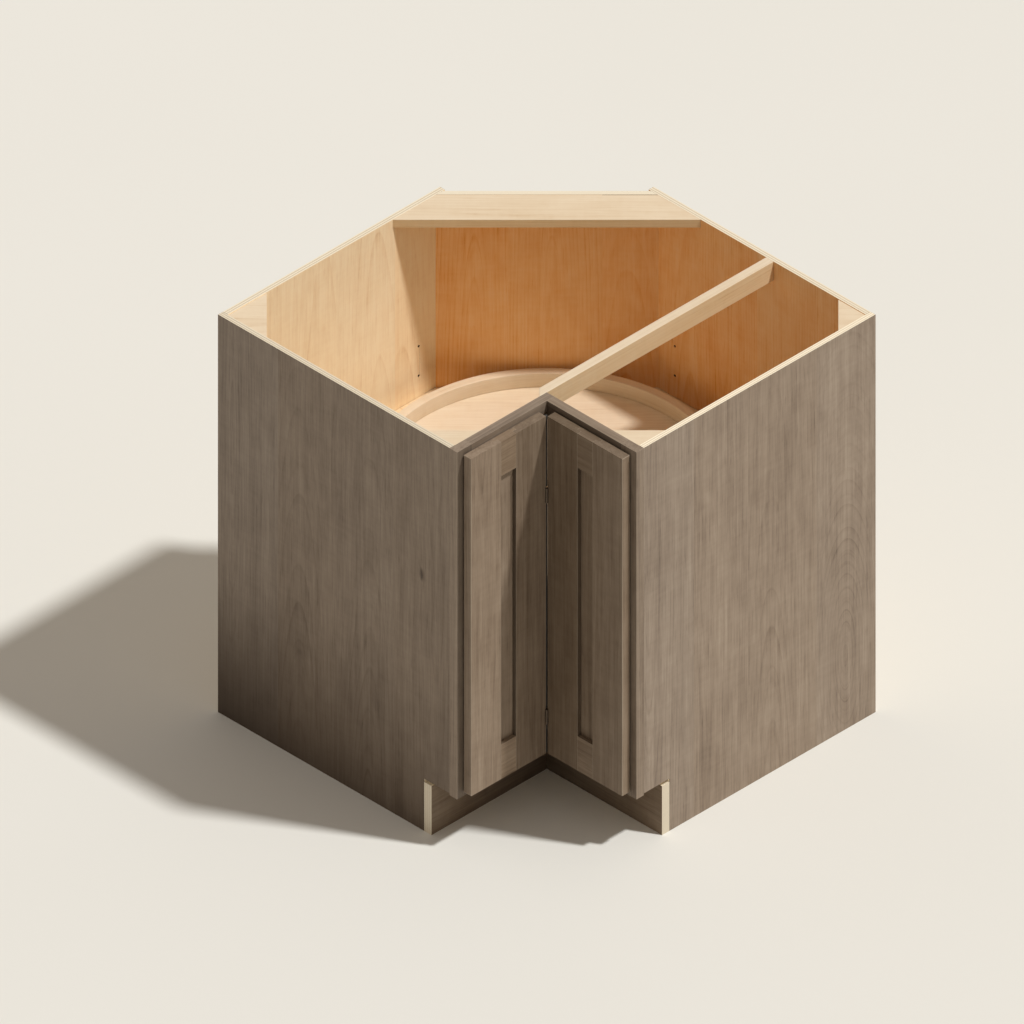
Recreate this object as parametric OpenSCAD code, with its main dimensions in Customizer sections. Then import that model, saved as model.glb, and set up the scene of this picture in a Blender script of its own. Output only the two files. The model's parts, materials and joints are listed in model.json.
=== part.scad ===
// Corner carousel cabinet: an L-shaped base unit with a two-leaf corner door
// and two round trays that turn on swivel bearings.
// The room walls run along the -X and +Y sides and the user stands at +X -Y.
// The floor is at z = 0 and the origin is under the middle of the square
// that the two wall runs make.

/* [Cabinet] */
// Length of the cabinet along each room wall
wall_run = 838.2; // [830:0.1:900]
// Height from the floor to the top edges
cabinet_h = 876.3; // [860:0.1:920]
// Depth of each end, from the room wall to the front of its face frame
end_depth = 609.6; // [600:0.1:620]
// Thickness of the side panels and the wall panels
panel_t = 12.7; // [11:0.1:16]
// Thickness of the diagonal back
diag_t = 12.7; // [9:0.1:19]
// Run of the diagonal back along the inside of each wall panel
diag_run = 283.8; // [260:0.1:290]
// How far a wall panel runs on past the diagonal back
wall_overrun = 6.4; // [2:0.1:20]

/* [Face frame] */
// Thickness of the frame members
frame_t = 19; // [16:0.1:22]
// Width of the outer stiles
stile_w = 38.1; // [36:0.1:44]
// Height of the top and bottom rails
rail_h = 38.1; // [34:0.1:44]
// Height of the frame's lower edge above the floor
frame_bottom = 111; // [105:0.1:114]

/* [Toe kick] */
// Height of the toe notch in the side panels
toe_notch_h = 115; // [114:0.1:125]
// Height of the toe boards
toe_board_h = 108; // [90:0.1:112]
// Thickness of the toe boards
toe_board_t = 19; // [12:0.1:22]
// Depth of the toe notch behind the front of the face frame
toe_notch_d = 84; // [60:0.1:100]
// Width of each deck post behind the toe boards
post_w = 38; // [20:1:60]
// Thickness of the deck posts and cleats
post_t = 19; // [12:0.1:25]

/* [Deck and shelf] */
// Thickness of the bottom deck
deck_t = 12.7; // [9:0.1:19]
// Step from the bottom rail's top down to the deck
deck_drop = 3; // [1:0.1:6]
// Thickness of the carousel shelf
shelf_t = 16; // [12:0.1:19]
// Gap between the carousel shelf and the panels round it
shelf_gap = 1; // [0.5:0.1:2]

/* [Shelf pins] */
// Diameter of the pin holes
pin_hole_d = 5; // [4:0.1:8]
// Depth of the pin holes
pin_hole_depth = 10; // [7:0.1:10.5]
// Radial clearance of a pin in its hole
pin_fit = 0.05; // [0.02:0.01:0.1]
// Height of the lowest hole of each column
pin_z0 = 304; // [290:1:320]
// Pitch of the holes up a column
pin_pitch = 65; // [55:1:70]
// Number of holes in a column
pin_rows = 5; // [4:1:5]
// Row that the shelf rests on, counted from 0
pin_row = 2; // [1:1:2]
// How far a pin stands out of its panel
pin_reach = 9; // [6:0.1:14]
// Distance of the rear hole column from the middle line of the cabinet
pin_rear = 80; // [40:1:90]
// Distance of the front hole columns from the middle line of the cabinet
pin_front = 330; // [250:1:360]

/* [Top bracing] */
// Thickness of the rear top brace
brace_t = 18; // [12:0.1:22]
// Depth of the rear top brace, square to the diagonal back
brace_d = 77; // [50:0.1:110]
// Thickness of the top stretcher
stretcher_t = 19; // [12:0.1:25]
// Height of the top stretcher
stretcher_h = 42; // [30:0.1:60]
// Leg of the small corner blocks
block_leg = 70; // [50:0.1:90]
// Leg of the corner block at the left wall end
block_leg_wide = 99; // [60:0.1:120]
// Thickness of the corner blocks
block_t = 15; // [9:0.1:19]
// Depth of the corner blocks below the top edges
block_drop = 1.5; // [0:0.1:4]

/* [Doors] */
// Thickness of the door frames
door_t = 19; // [18:0.1:22]
// Gap between the face frame and the backs of the doors
door_gap = 3; // [2.8:0.1:4]
// Face frame left showing beside a door
door_reveal_side = 14.1; // [13:0.1:16]
// Face frame left showing above the doors
door_reveal_top = 11.3; // [6:0.1:16]
// Face frame left showing below the doors
door_reveal_bottom = 11; // [6:0.1:16]
// Gap between one door's end and the front plane of the other
door_corner_gap = 1.6; // [1.4:0.1:2.2]
// Width of the door rails
door_member_w = 75.5; // [60:0.1:80]
// Width of the panel that shows between a door's stiles
door_opening_w = 38; // [20:0.1:90]
// Thickness of the door panels
door_panel_t = 6; // [4:0.1:7]
// Depth of a door panel's face below the front of its frame
door_recess = 9.5; // [6:0.1:11]
// Depth of the grooves that hold the door panels
door_groove = 9.5; // [6:0.1:12]
// Room for a door panel to swell at each edge
panel_float = 1.5; // [0.5:0.1:3]

/* [Cup hinges] */
// Diameter of the hinge cup
cup_d = 35; // [35:0.1:36]
// Depth of the hinge cup
cup_depth = 12.2; // [12.2:0.1:13]
// Wall of the hinge cup
cup_wall = 0.9; // [0.6:0.1:1]
// Floor of the hinge cup
cup_floor = 0.6; // [0.4:0.1:0.8]
// Clearance round the hinge cup in the door
cup_fit = 0.05; // [0.02:0.01:0.2]
// Wood left between the cup and the door's outer edge
cup_edge = 3; // [3:0.1:3.4]
// Depth of the hinge axis in front of the door's back
axis_depth = 8.2; // [8:0.1:8.6]
// Distance of the hinge axis from the door's outer edge
axis_edge = 7; // [6.8:0.1:7]
// Diameter of the hinge pin
hinge_pin_d = 2.5; // [2:0.1:2.6]
// Radial clearance of the hinge pin in the arm's eye
hinge_fit = 0.05; // [0.02:0.01:0.1]
// Radius of the arm's eye
eye_r = 2.4; // [2.2:0.1:2.5]
// Height of the eye and of the arm's neck
neck_h = 8; // [6:0.1:9]
// Thickness of the arm
arm_t = 2.2; // [2:0.1:2.4]
// Height of the arm's foot on the stile
foot_h = 28; // [24:0.1:40]
// Distance of each cup hinge from its end of the door
hinge_inset = 90; // [70:1:140]

/* [Fold hinges] */
// Height of a fold hinge
fold_h = 32; // [28:0.1:50]
// Outside radius of its knuckles
knuckle_r = 2.3; // [2:0.05:2.35]
// Diameter of its pin
fold_pin_d = 2.1; // [1.6:0.1:2.4]
// Radial clearance of the pin in the knuckles
fold_fit = 0.05; // [0.02:0.01:0.1]
// Thickness of the leaves
leaf_t = 1.2; // [0.8:0.1:1.4]
// Height of the lower fold hinge above the floor
fold_z_low = 204; // [160:1:300]
// Height of the upper fold hinge above the floor
fold_z_high = 692; // [560:1:800]

/* [Trays] */
// Distance of the trays' axis in front of the middle between the room corner and the doors
tray_offset = 100.9; // [98:0.1:103]
// Least gap between a tray and anything it passes
tray_gap = 5; // [3:0.1:9]
// Thickness of a tray's board
tray_board_t = 9; // [9:0.1:16]
// Width of a tray's rim
rim_w = 18; // [9:0.1:22]
// Height of a tray's rim above its board
rim_h = 31; // [20:0.1:38]

/* [Swivel bearings] */
// Radius of the bearing plates
swivel_r = 110; // [95:1:130]
// Thickness of the bearing plates
swivel_t = 1.5; // [1:0.1:2]
// Radius of the ring of balls
race_r = 92; // [88:1:93]
// Number of balls
ball_count = 24; // [16:1:30]
// Diameter of the balls
ball_d = 4.2; // [4.1:0.1:5.5]
// Running gap above the balls
ball_gap = 0.3; // [0.2:0.05:0.5]
// Height of the lips that keep the balls in
lip_h = 2.6; // [2:0.1:3]
// Outside radius of the centre pivot
pivot_r = 12; // [8:0.5:20]
// Radial clearance of the centre pivot
pivot_fit = 0.06; // [0.02:0.01:0.1]

/* [Screws and catch] */
// Radius of the screw shanks
screw_r = 1.6; // [1.2:0.1:1.7]
// Radius of the screw heads
screw_head_r = 3.2; // [2.6:0.1:3.4]
// Height of the screw heads
screw_head_h = 1.6; // [1:0.1:1.9]
// Clearance round a screw in its hole
screw_fit = 0.05; // [0.02:0.01:0.1]
// Width of the magnetic catch over its two ears
catch_w = 40; // [34:0.1:50]
// Width of the catch's magnet block
magnet_w = 12; // [8:0.1:14]
// Distance between the catch's two screws
catch_screw_pitch = 26; // [22:0.1:27]
// Height of the magnetic catch
catch_h = 14; // [10:0.1:20]
// Depth of the magnetic catch
catch_d = 17; // [12:0.1:18]
// Width of the catch's steel plate on the door
strike_w = 28; // [14:0.1:36]
// Thickness of the steel plate
strike_t = 1.2; // [0.8:0.1:1.6]
// Gap between two parts that meet when the doors are shut
meet_gap = 0.3; // [0.2:0.05:0.5]
// Radius of the door bumpers
bumper_r = 5; // [3:0.1:6]

/* [Hidden] */
$fn = 64;
round_fn = 180;
eps = 0.5;

// planes, written for the left half; the right half is its mirror image
half = wall_run / 2;
inner = half - panel_t;
front = end_depth - half;
frame_back = front - frame_t;
toe_x = front - toe_notch_d;
toe_face = toe_x + toe_board_t;
stile_edge = -half + stile_w;
diag_a = inner - diag_run;
diag_b = diag_a + diag_t * sqrt(2);

// heights
rail_top = frame_bottom + rail_h;
deck_top = rail_top - deck_drop;
deck_low = deck_top - deck_t;
cleat_inset = 38;
pin_z = pin_z0 + pin_row * pin_pitch;
pin_r = pin_hole_d / 2 - pin_fit;
shelf_low = pin_z + pin_r;
shelf_top = shelf_low + shelf_t;

// doors
door_back = front + door_gap;
door_front = door_back + door_t;
door_outer = -half + door_reveal_side;
door_inner = -(door_front + door_corner_gap);
door_z0 = frame_bottom + door_reveal_bottom;
door_z1 = cabinet_h - door_reveal_top;
door_stile_w = (door_inner - door_outer - door_opening_w) / 2;
door_stile_in = door_outer + door_stile_w;
door_stile_end = door_inner - door_stile_w;
groove_x0 = door_front - door_recess - door_panel_t;
groove_x1 = door_front - door_recess;
hinge_z = [door_z0 + hinge_inset, door_z1 - hinge_inset];

// cup hinge
axis_x = door_back + axis_depth;
axis_y = door_outer + axis_edge;
cup_r = cup_d / 2;
cup_y = door_outer + cup_edge + cup_r;
cup_in_r = cup_r - cup_wall;
ear_gap = 0.3;
ear_z = neck_h / 2 + ear_gap;
ear_len = 5;
ear_w = 5.6;
ear_back = 2.6;
pin_end_gap = 0.5;
arm_offset = 0.2;
arm_x = axis_x + arm_offset;
foot_y = stile_edge;
foot_inset_back = 1;
foot_inset_front = 1.5;
flange_t = 1;
flange_h = 60;
flange_w = 15;
flange_back = 2;
cup_screw_off = 9.5;
cup_screw_z = 22.5;
cup_screw_len = 9;
foot_screw_z = 9;
foot_screw_len = 16;

// fold hinge: its axis stands in front of both doors
fold_reach = 2.5;
fold_y = -(door_front + fold_reach);
fold_x = -fold_y;
knuckle_gap = 0.3;
knuckle_h = (fold_h - 2 * knuckle_gap) / 3;
leaf_w = 18;
leaf_screw_z = 9;
leaf_screw_off = 11.2;
window_gap = 0.4;
leaf_screw_len = 14;

// trays and bearings: the axis lies on the middle line of the plan
mid_room = (2 * inner - door_back + door_inner) / 4;
tray_y = mid_room - tray_offset / sqrt(2);
tray_x = -tray_y;
to_diagonal = (inner + diag_a - tray_y + tray_x) / sqrt(2);
to_doors = norm([door_back - tray_x, door_inner - tray_y]);
to_panels = inner - abs(tray_y);
tray_r = min(to_diagonal, to_doors, to_panels) - tray_gap;
swivel_h = 2 * swivel_t + ball_d + ball_gap;
base_screw_r = 60;
base_screw_turn = 45;
tray_screw_r = 76;
swivel_screws = 4;
pivot_wall = 2;
lip_t = 1.5;
lip_gap = 0.4;
base_screw_len = 10;
tray_screw_len = 7;

// catch
catch_x = stile_edge + 6;
catch_mid = catch_x + catch_w / 2;
catch_front = door_back - strike_t - meet_gap;
catch_z = cabinet_h - rail_h;
bumper_h = door_gap - meet_gap;
bumper_inset = 7;
bumper_drop = 15;
catch_ear_h = 3;
catch_screw_back = 2;
strike_drop = 1;
catch_screw_len = 12;

stained = "#8a7c6d";
stained_dark = "#5f564c";
maple = "#e0bb8a";
maple_pale = "#ecd6b0";
steel = "silver";
bright_steel = "gainsboro";
rubber = "#33302d";

// ---- helpers ----

// a block between two opposite corners
module board(a, b) { translate(a) cube(b - a); }

// the right half is the left half mirrored across the cabinet's middle plane
module right_hand() { mirror([1, 1, 0]) children(); }

// turns a part that points along +Z so that it points along +X or -Y
module along_x() { rotate([0, 90, 0]) children(); }
module along_minus_y() { rotate([90, 0, 0]) children(); }

// a pan-head screw that stands on z = 0 with its shank below
module screw(len) {
    cross = 1.2 * screw_head_r;
    cross_w = 0.25 * screw_head_r;
    cross_z = 0.4 * screw_head_h;
    difference() {
        union() {
            cylinder(r = screw_head_r, h = screw_head_h);
            translate([0, 0, -len]) cylinder(r = screw_r, h = len + eps);
        }
        for (turn = [0, 90]) rotate(turn)
            translate([-cross / 2, -cross_w / 2, cross_z])
                cube([cross, cross_w, screw_head_h]);
    }
}

module screw_hole(len) {
    translate([0, 0, -len - eps]) cylinder(r = screw_r + screw_fit, h = len + 2 * eps);
}

// the plan of the space inside the panels, drawn in by a clearance
module inside_plan(clear) {
    diag_shift = clear * (sqrt(2) - 1);
    polygon([
        [-inner + clear, -inner + clear], [frame_back - clear, -inner + clear],
        [frame_back - clear, -frame_back + clear], [inner - clear, -frame_back + clear],
        [inner - clear, inner - clear], [-diag_a + diag_shift, inner - clear],
        [-inner + clear, diag_a - diag_shift]
    ]);
}

// ---- carcass ----

// columns of shelf-pin holes of the left half: [x, y, turn]; the turn points
// a hole from the cabinet's inside into its panel
pin_columns = [
    [-inner, pin_rear, 180], [-inner, -pin_front, 180],
    [-pin_front, -inner, -90], [pin_rear, -inner, -90]
];

module at_pin_columns() {
    for (c = pin_columns) translate([c[0], c[1], 0]) rotate(c[2]) along_x() children();
}

module pin_holes() {
    for (row = [0 : pin_rows - 1]) translate([0, 0, pin_z0 + row * pin_pitch])
        at_pin_columns() translate([0, 0, -eps])
            cylinder(d = pin_hole_d, h = pin_hole_depth + eps);
}

module side_panel() {
    difference() {
        board([-half, -half, 0], [frame_back, -inner, cabinet_h]);
        board([toe_x, -half - eps, -eps], [frame_back + eps, -inner + eps, toe_notch_h]);
        pin_holes();
    }
}

module wall_panel() {
    difference() {
        board([-half, -inner, 0], [-inner, diag_b + wall_overrun, cabinet_h]);
        pin_holes();
    }
}

module left_side_panel() { color(stained) side_panel(); }
module right_side_panel() { color(stained) right_hand() side_panel(); }
module left_wall_panel() { color(maple) wall_panel(); }
module right_wall_panel() { color(maple) right_hand() wall_panel(); }

module diagonal_back_panel() {
    color(maple) linear_extrude(cabinet_h) polygon([
        [-inner, diag_a], [-inner, diag_b], [-diag_b, inner], [-diag_a, inner]
    ]);
}

module swivel_pilot_holes(top) {
    at_tray(top) base_screw_set() screw_hole(base_screw_len);
}

module bottom_deck() {
    color(maple) difference() {
        translate([0, 0, deck_low]) linear_extrude(deck_t) inside_plan(0);
        swivel_pilot_holes(deck_top);
    }
}

module carousel_shelf() {
    color(maple) difference() {
        translate([0, 0, shelf_low]) linear_extrude(shelf_t) inside_plan(shelf_gap);
        swivel_pilot_holes(shelf_top);
    }
}

// a steel pin in each column, with a flat tab under the shelf
module shelf_pins_left() {
    tab_w = 8;
    tab_t = 2;
    stub = pin_hole_depth - eps;
    translate([0, 0, pin_z]) at_pin_columns() {
        translate([0, 0, -pin_reach]) cylinder(r = pin_r, h = stub + pin_reach);
        translate([-pin_r, -tab_w / 2, -pin_reach]) cube([tab_t, tab_w, pin_reach]);
    }
}

module shelf_pins() {
    color(steel) { shelf_pins_left(); right_hand() shelf_pins_left(); }
}

module rear_top_brace() {
    near = diag_a - brace_d * sqrt(2);
    color(maple_pale) translate([0, 0, cabinet_h - brace_t]) linear_extrude(brace_t)
        polygon([[-inner, diag_a], [-inner, near], [-near, inner], [-diag_a, inner]]);
}

// its front end is mitred where it meets the back of the frame's corner
module top_stretcher() {
    back = frame_back - stretcher_t;
    color(maple_pale) translate([0, 0, cabinet_h - stretcher_h]) linear_extrude(stretcher_h)
        polygon([[back, -front + stretcher_t], [frame_back, -front], [frame_back, inner],
                 [back, inner]]);
}

// a flat triangle in a corner; sx and sy point from the corner into the cabinet
module corner_block(x, y, sx, sy, leg) {
    translate([x, y, cabinet_h - block_drop - block_t]) linear_extrude(block_t)
        polygon([[0, 0], [sx * leg, 0], [0, sy * leg]]);
}

module corner_blocks() {
    color(maple_pale) {
        corner_block(-inner, -inner, 1, 1, block_leg_wide);
        corner_block(frame_back, -inner, -1, 1, block_leg);
        corner_block(inner, -frame_back, -1, 1, block_leg);
        corner_block(inner, inner, -1, -1, block_leg);
    }
}

// ---- face frame ----

module foot_screw_holes() {
    for (z = hinge_z, s = [-1, 1])
        translate([front - frame_t / 2, foot_y, z + s * foot_screw_z])
            along_minus_y() mirror([0, 0, 1]) screw_hole(foot_screw_len);
}

module left_outer_stile() {
    color(stained) difference() {
        board([frame_back, -half, frame_bottom], [front, stile_edge, cabinet_h]);
        foot_screw_holes();
    }
}

module right_outer_stile() {
    color(stained) right_hand()
        board([frame_back, -half, frame_bottom], [front, stile_edge, cabinet_h]);
}

// the left rails run through the inner corner and the right rails butt against them
module left_rail(z0) {
    board([frame_back, stile_edge, z0], [front, -frame_back, z0 + rail_h]);
}

module right_rail(z0) {
    board([front, -front, z0], [-stile_edge, -frame_back, z0 + rail_h]);
}

module left_top_rail() { color(stained) left_rail(cabinet_h - rail_h); }

module right_top_rail() {
    color(stained) difference() {
        right_rail(cabinet_h - rail_h);
        catch_screw_set() mirror([0, 0, 1]) screw_hole(catch_screw_len);
    }
}

module left_bottom_rail() { color(stained) left_rail(frame_bottom); }
module right_bottom_rail() { color(stained) right_rail(frame_bottom); }

// ---- toe kick and deck supports ----

module left_toe_board() {
    color(stained_dark) board([toe_x, -half, 0], [toe_face, -toe_x, toe_board_h]);
}

module right_toe_board() {
    color(stained_dark) board([toe_face, -toe_face, 0], [half, -toe_x, toe_board_h]);
}

module deck_posts_left() {
    first = -inner + post_w;
    last = -toe_face - 2 * post_w;
    for (i = [0 : 2])
        translate([toe_x - post_t, first + i * (last - first) / 2, 0])
            cube([post_t, post_w, deck_low]);
}

module deck_posts() {
    color(maple) { deck_posts_left(); right_hand() deck_posts_left(); }
}

module deck_cleats_left() {
    z0 = deck_low - post_t;
    side = -inner + cleat_inset;
    board([side, -inner, z0], [toe_x - cleat_inset, -inner + post_t, deck_low]);
    board([-inner, side, z0], [-inner + post_t, diag_a - cleat_inset, deck_low]);
}

module deck_cleats() {
    color(maple) { deck_cleats_left(); right_hand() deck_cleats_left(); }
}

// ---- cup hinges ----

// an arm in its own frame: the hinge axis is the z axis, and the frame is at -X
module hinge_arm() {
    reach = arm_x + arm_t - axis_x;
    foot_y0 = foot_y - axis_y;
    plate_x0 = frame_back + foot_inset_back - axis_x;
    plate_x1 = front - foot_inset_front - axis_x;
    difference() {
        union() {
            translate([0, 0, -neck_h / 2]) cylinder(r = eye_r, h = neck_h);
            board([arm_x - axis_x, 0, -neck_h / 2], [reach, foot_y0 + arm_t, neck_h / 2]);
            board([plate_x1 - eps, foot_y0, -neck_h / 2], [reach, foot_y0 + arm_t, neck_h / 2]);
            board([plate_x0, foot_y0, -foot_h / 2], [plate_x1, foot_y0 + arm_t, foot_h / 2]);
        }
        translate([0, 0, -neck_h]) cylinder(d = hinge_pin_d + 2 * hinge_fit, h = 2 * neck_h);
        for (s = [-1, 1])
            translate([front - frame_t / 2 - axis_x, foot_y0, s * foot_screw_z])
                along_minus_y() cylinder(r = screw_r + screw_fit, h = 3 * arm_t, center = true);
    }
}

module hinge_arms() {
    color(bright_steel) for (z = hinge_z) translate([axis_x, axis_y, z]) hinge_arm();
}

module hinge_arm_screws() {
    color(steel) for (z = hinge_z, s = [-1, 1])
        translate([front - frame_t / 2, foot_y + arm_t, z + s * foot_screw_z])
            along_minus_y() mirror([0, 0, 1]) screw(foot_screw_len);
}

// a cup: a round pot let into the door's back, with two ears that hold the pin
module hinge_cup() {
    difference() {
        union() {
            difference() {
                union() {
                    along_x() cylinder(r = cup_r, h = cup_depth);
                    board([-flange_t, -flange_back, -flange_h / 2],
                          [0, flange_w - flange_back, flange_h / 2]);
                }
                translate([-flange_t - eps, 0, 0]) along_x()
                    cylinder(r = cup_in_r, h = cup_depth - cup_floor + flange_t + eps);
                cup_screw_set() screw_hole(cup_screw_len);
            }
            intersection() {
                along_x() cylinder(r = cup_in_r + cup_wall / 2, h = cup_depth - cup_floor / 2);
                for (s = [-1, 1])
                    translate([axis_depth - ear_back, axis_y - cup_y - ear_w / 2,
                               s * (ear_z + ear_len / 2) - ear_len / 2])
                        cube([cup_depth, ear_w, ear_len]);
            }
        }
        translate([axis_depth, axis_y - cup_y, -cup_r])
            cylinder(d = hinge_pin_d + 2 * hinge_fit, h = cup_d);
    }
}

// the two screws of a cup, in the cup's frame, standing on the flange
module cup_screw_set() {
    for (s = [-1, 1]) translate([-flange_t, cup_screw_off, s * cup_screw_z])
        rotate([0, -90, 0]) children();
}

module at_cups() { for (z = hinge_z) translate([door_back, cup_y, z]) children(); }

module hinge_cups() { color(bright_steel) at_cups() hinge_cup(); }

module hinge_pins() {
    pin_len = 2 * (ear_z + ear_len - pin_end_gap);
    color(steel) for (z = hinge_z) translate([axis_x, axis_y, z])
        cylinder(d = hinge_pin_d, h = pin_len, center = true);
}

module hinge_cup_screws() { color(steel) at_cups() cup_screw_set() screw(cup_screw_len); }

// ---- fold hinges between the two doors ----

// one leaf in its own frame: the fold axis is the z axis, and the leaf lies
// against the door's end and runs towards -X
module fold_leaf(outer) {
    end_y = door_inner - fold_y;
    difference() {
        union() {
            if (outer) for (s = [-1, 1])
                translate([0, 0, s * (knuckle_h + knuckle_gap) - knuckle_h / 2])
                    cylinder(r = knuckle_r, h = knuckle_h);
            else translate([0, 0, -knuckle_h / 2]) cylinder(r = knuckle_r, h = knuckle_h);
            difference() {
                board([-leaf_w, end_y, -fold_h / 2], [0, end_y + leaf_t, fold_h / 2]);
                if (outer) knuckle_window(0);
                else for (s = [-1, 1]) knuckle_window(s * (knuckle_h + knuckle_gap));
            }
        }
        translate([0, 0, -fold_h]) cylinder(d = fold_pin_d + 2 * fold_fit, h = 2 * fold_h);
        leaf_screw_set() screw_hole(leaf_screw_len);
    }
}

module knuckle_window(z) {
    clear_r = knuckle_r + window_gap;
    h = knuckle_h + 2 * knuckle_gap;
    translate([-clear_r, -clear_r, z - h / 2]) cube([2 * clear_r, 2 * clear_r, h]);
}

module leaf_screw_set() {
    for (s = [-1, 1])
        translate([-leaf_screw_off, door_inner - fold_y + leaf_t, s * leaf_screw_z])
            along_minus_y() mirror([0, 0, 1]) children();
}

module at_folds() { for (z = [fold_z_low, fold_z_high]) translate([fold_x, fold_y, z]) children(); }

module fold_hinge_left_leaves() { color(steel) at_folds() fold_leaf(true); }
module fold_hinge_right_leaves() { color(steel) right_hand() at_folds() fold_leaf(false); }

module fold_hinge_pins() {
    color(bright_steel) at_folds()
        cylinder(d = fold_pin_d, h = fold_h - 2 * knuckle_gap, center = true);
}

module fold_hinge_left_screws() {
    color(bright_steel) at_folds() leaf_screw_set() screw(leaf_screw_len);
}

module fold_hinge_right_screws() {
    color(bright_steel) right_hand() at_folds() leaf_screw_set() screw(leaf_screw_len);
}

// ---- doors, drawn as the left door ----

module door_groove_cut(y0, y1, z0, z1) {
    board([groove_x0, y0, z0], [groove_x1, y1, z1]);
}

// a stile with its groove on the side that faces the panel
module door_stile(y0, groove_side) {
    y1 = y0 + door_stile_w;
    g0 = groove_side > 0 ? y1 - door_groove : y0 - eps;
    g1 = groove_side > 0 ? y1 + eps : y0 + door_groove;
    difference() {
        board([door_back, y0, door_z0], [door_front, y1, door_z1]);
        door_groove_cut(g0, g1, door_z0 - eps, door_z1 + eps);
    }
}

// a rail between the stiles, with stub tenons in their grooves
module door_rail(z0, groove_side) {
    y0 = door_stile_in;
    y1 = door_stile_end;
    z1 = z0 + door_member_w;
    g0 = groove_side > 0 ? z1 - door_groove : z0 - eps;
    g1 = groove_side > 0 ? z1 + eps : z0 + door_groove;
    difference() {
        union() {
            board([door_back, y0, z0], [door_front, y1, z1]);
            door_groove_cut(y0 - door_groove, y1 + door_groove, z0, z1);
        }
        door_groove_cut(y0 - door_groove - eps, y1 + door_groove + eps, g0, g1);
    }
}

module door_panel() {
    reach = door_groove - panel_float;
    board([groove_x0, door_stile_in - reach, door_z0 + door_member_w - reach],
          [groove_x1, door_stile_end + reach, door_z1 - door_member_w + reach]);
}

module corner_stile() {
    difference() {
        door_stile(door_stile_end, -1);
        at_folds() leaf_screw_set() screw_hole(leaf_screw_len);
    }
}

// cuts a piece of the left door wherever a hinge cup or its screws reach it
module cut_for_cups() {
    difference() {
        children();
        at_cups() {
            translate([-eps, 0, 0]) along_x()
                cylinder(r = cup_r + cup_fit, h = cup_depth + eps);
            cup_screw_set() screw_hole(cup_screw_len);
        }
    }
}

module left_door_hinge_stile() { color(stained) cut_for_cups() door_stile(door_outer, 1); }
module left_door_corner_stile() { color(stained) corner_stile(); }
module left_door_top_rail() {
    color(stained) cut_for_cups() door_rail(door_z1 - door_member_w, -1);
}
module left_door_bottom_rail() { color(stained) cut_for_cups() door_rail(door_z0, 1); }
module left_door_panel() { color(stained) cut_for_cups() door_panel(); }

module right_door_free_stile() { color(stained) right_hand() door_stile(door_outer, 1); }
module right_door_corner_stile() { color(stained) right_hand() corner_stile(); }
module right_door_top_rail() {
    color(stained) right_hand() door_rail(door_z1 - door_member_w, -1);
}
module right_door_bottom_rail() { color(stained) right_hand() door_rail(door_z0, 1); }
module right_door_panel() { color(stained) right_hand() door_panel(); }

// ---- catch and bumpers, drawn in the left half and mirrored ----

// the two screws that hold the catch up against the right top rail
module catch_screw_set() {
    for (s = [-1, 1])
        translate([-catch_mid + s * catch_screw_pitch / 2,
                   -catch_front + catch_d / 2 + catch_screw_back, catch_z])
            children();
}

module magnet_catch() {
    color(rubber) difference() {
        union() {
            board([-catch_x - catch_w, -catch_front, catch_z - catch_ear_h],
                  [-catch_x, -catch_front + catch_d, catch_z]);
            board([-catch_mid - magnet_w / 2, -catch_front, catch_z - catch_h],
                  [-catch_mid + magnet_w / 2, -catch_front + catch_d, catch_z]);
        }
        catch_screw_set() cylinder(r = screw_r + screw_fit, h = catch_h * 2, center = true);
    }
}

module catch_screws() {
    color(steel) catch_screw_set() translate([0, 0, -catch_ear_h])
        mirror([0, 0, 1]) screw(catch_screw_len);
}

module catch_strike() {
    x0 = -catch_mid - strike_w / 2;
    color(bright_steel) board([x0, -door_back, catch_z - catch_h],
                              [x0 + strike_w, -door_back + strike_t, catch_z - strike_drop]);
}

module door_bumpers() {
    color(rubber) right_hand() for (z = [door_z0 + bumper_drop, door_z1 - bumper_drop])
        translate([door_back - bumper_h, door_outer + bumper_inset, z])
            along_x() cylinder(r = bumper_r, h = bumper_h);
}

// ---- swivel bearings ----

// the lower plate with its two lips and its centre pivot, standing on z = 0
module swivel_base() {
    lip_in = race_r - ball_d / 2 - lip_gap;
    lip_out = race_r + ball_d / 2 + lip_gap;
    difference() {
        union() {
            cylinder(r = swivel_r, h = swivel_t, $fn = round_fn);
            swivel_lip(lip_in - lip_t, lip_in);
            swivel_lip(lip_out, lip_out + lip_t);
            cylinder(r = pivot_r, h = swivel_h - meet_gap);
        }
        translate([0, 0, -eps]) cylinder(r = pivot_r - pivot_wall, h = swivel_h + eps);
        base_screw_set() cylinder(r = screw_r + screw_fit, h = 4 * swivel_t, center = true);
    }
}

module swivel_lip(r0, r1) {
    difference() {
        cylinder(r = r1, h = swivel_t + lip_h, $fn = round_fn);
        translate([0, 0, -eps]) cylinder(r = r0, h = swivel_t + lip_h + 2 * eps, $fn = round_fn);
    }
}

module swivel_balls() {
    for (i = [0 : ball_count - 1]) rotate(i * 360 / ball_count)
        translate([race_r, 0, swivel_t + ball_d / 2]) sphere(d = ball_d);
}

// the upper plate, which turns round the pivot
module swivel_top() {
    translate([0, 0, swivel_h - swivel_t]) difference() {
        cylinder(r = swivel_r, h = swivel_t, $fn = round_fn);
        translate([0, 0, -eps]) cylinder(r = pivot_r + pivot_fit, h = swivel_t + 2 * eps);
        tray_screw_set() cylinder(r = screw_r + screw_fit, h = 4 * swivel_t, center = true);
    }
}

module base_screw_set() {
    for (i = [0 : swivel_screws - 1]) rotate(base_screw_turn + i * 360 / swivel_screws)
        translate([base_screw_r, 0, 0]) children();
}

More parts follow.
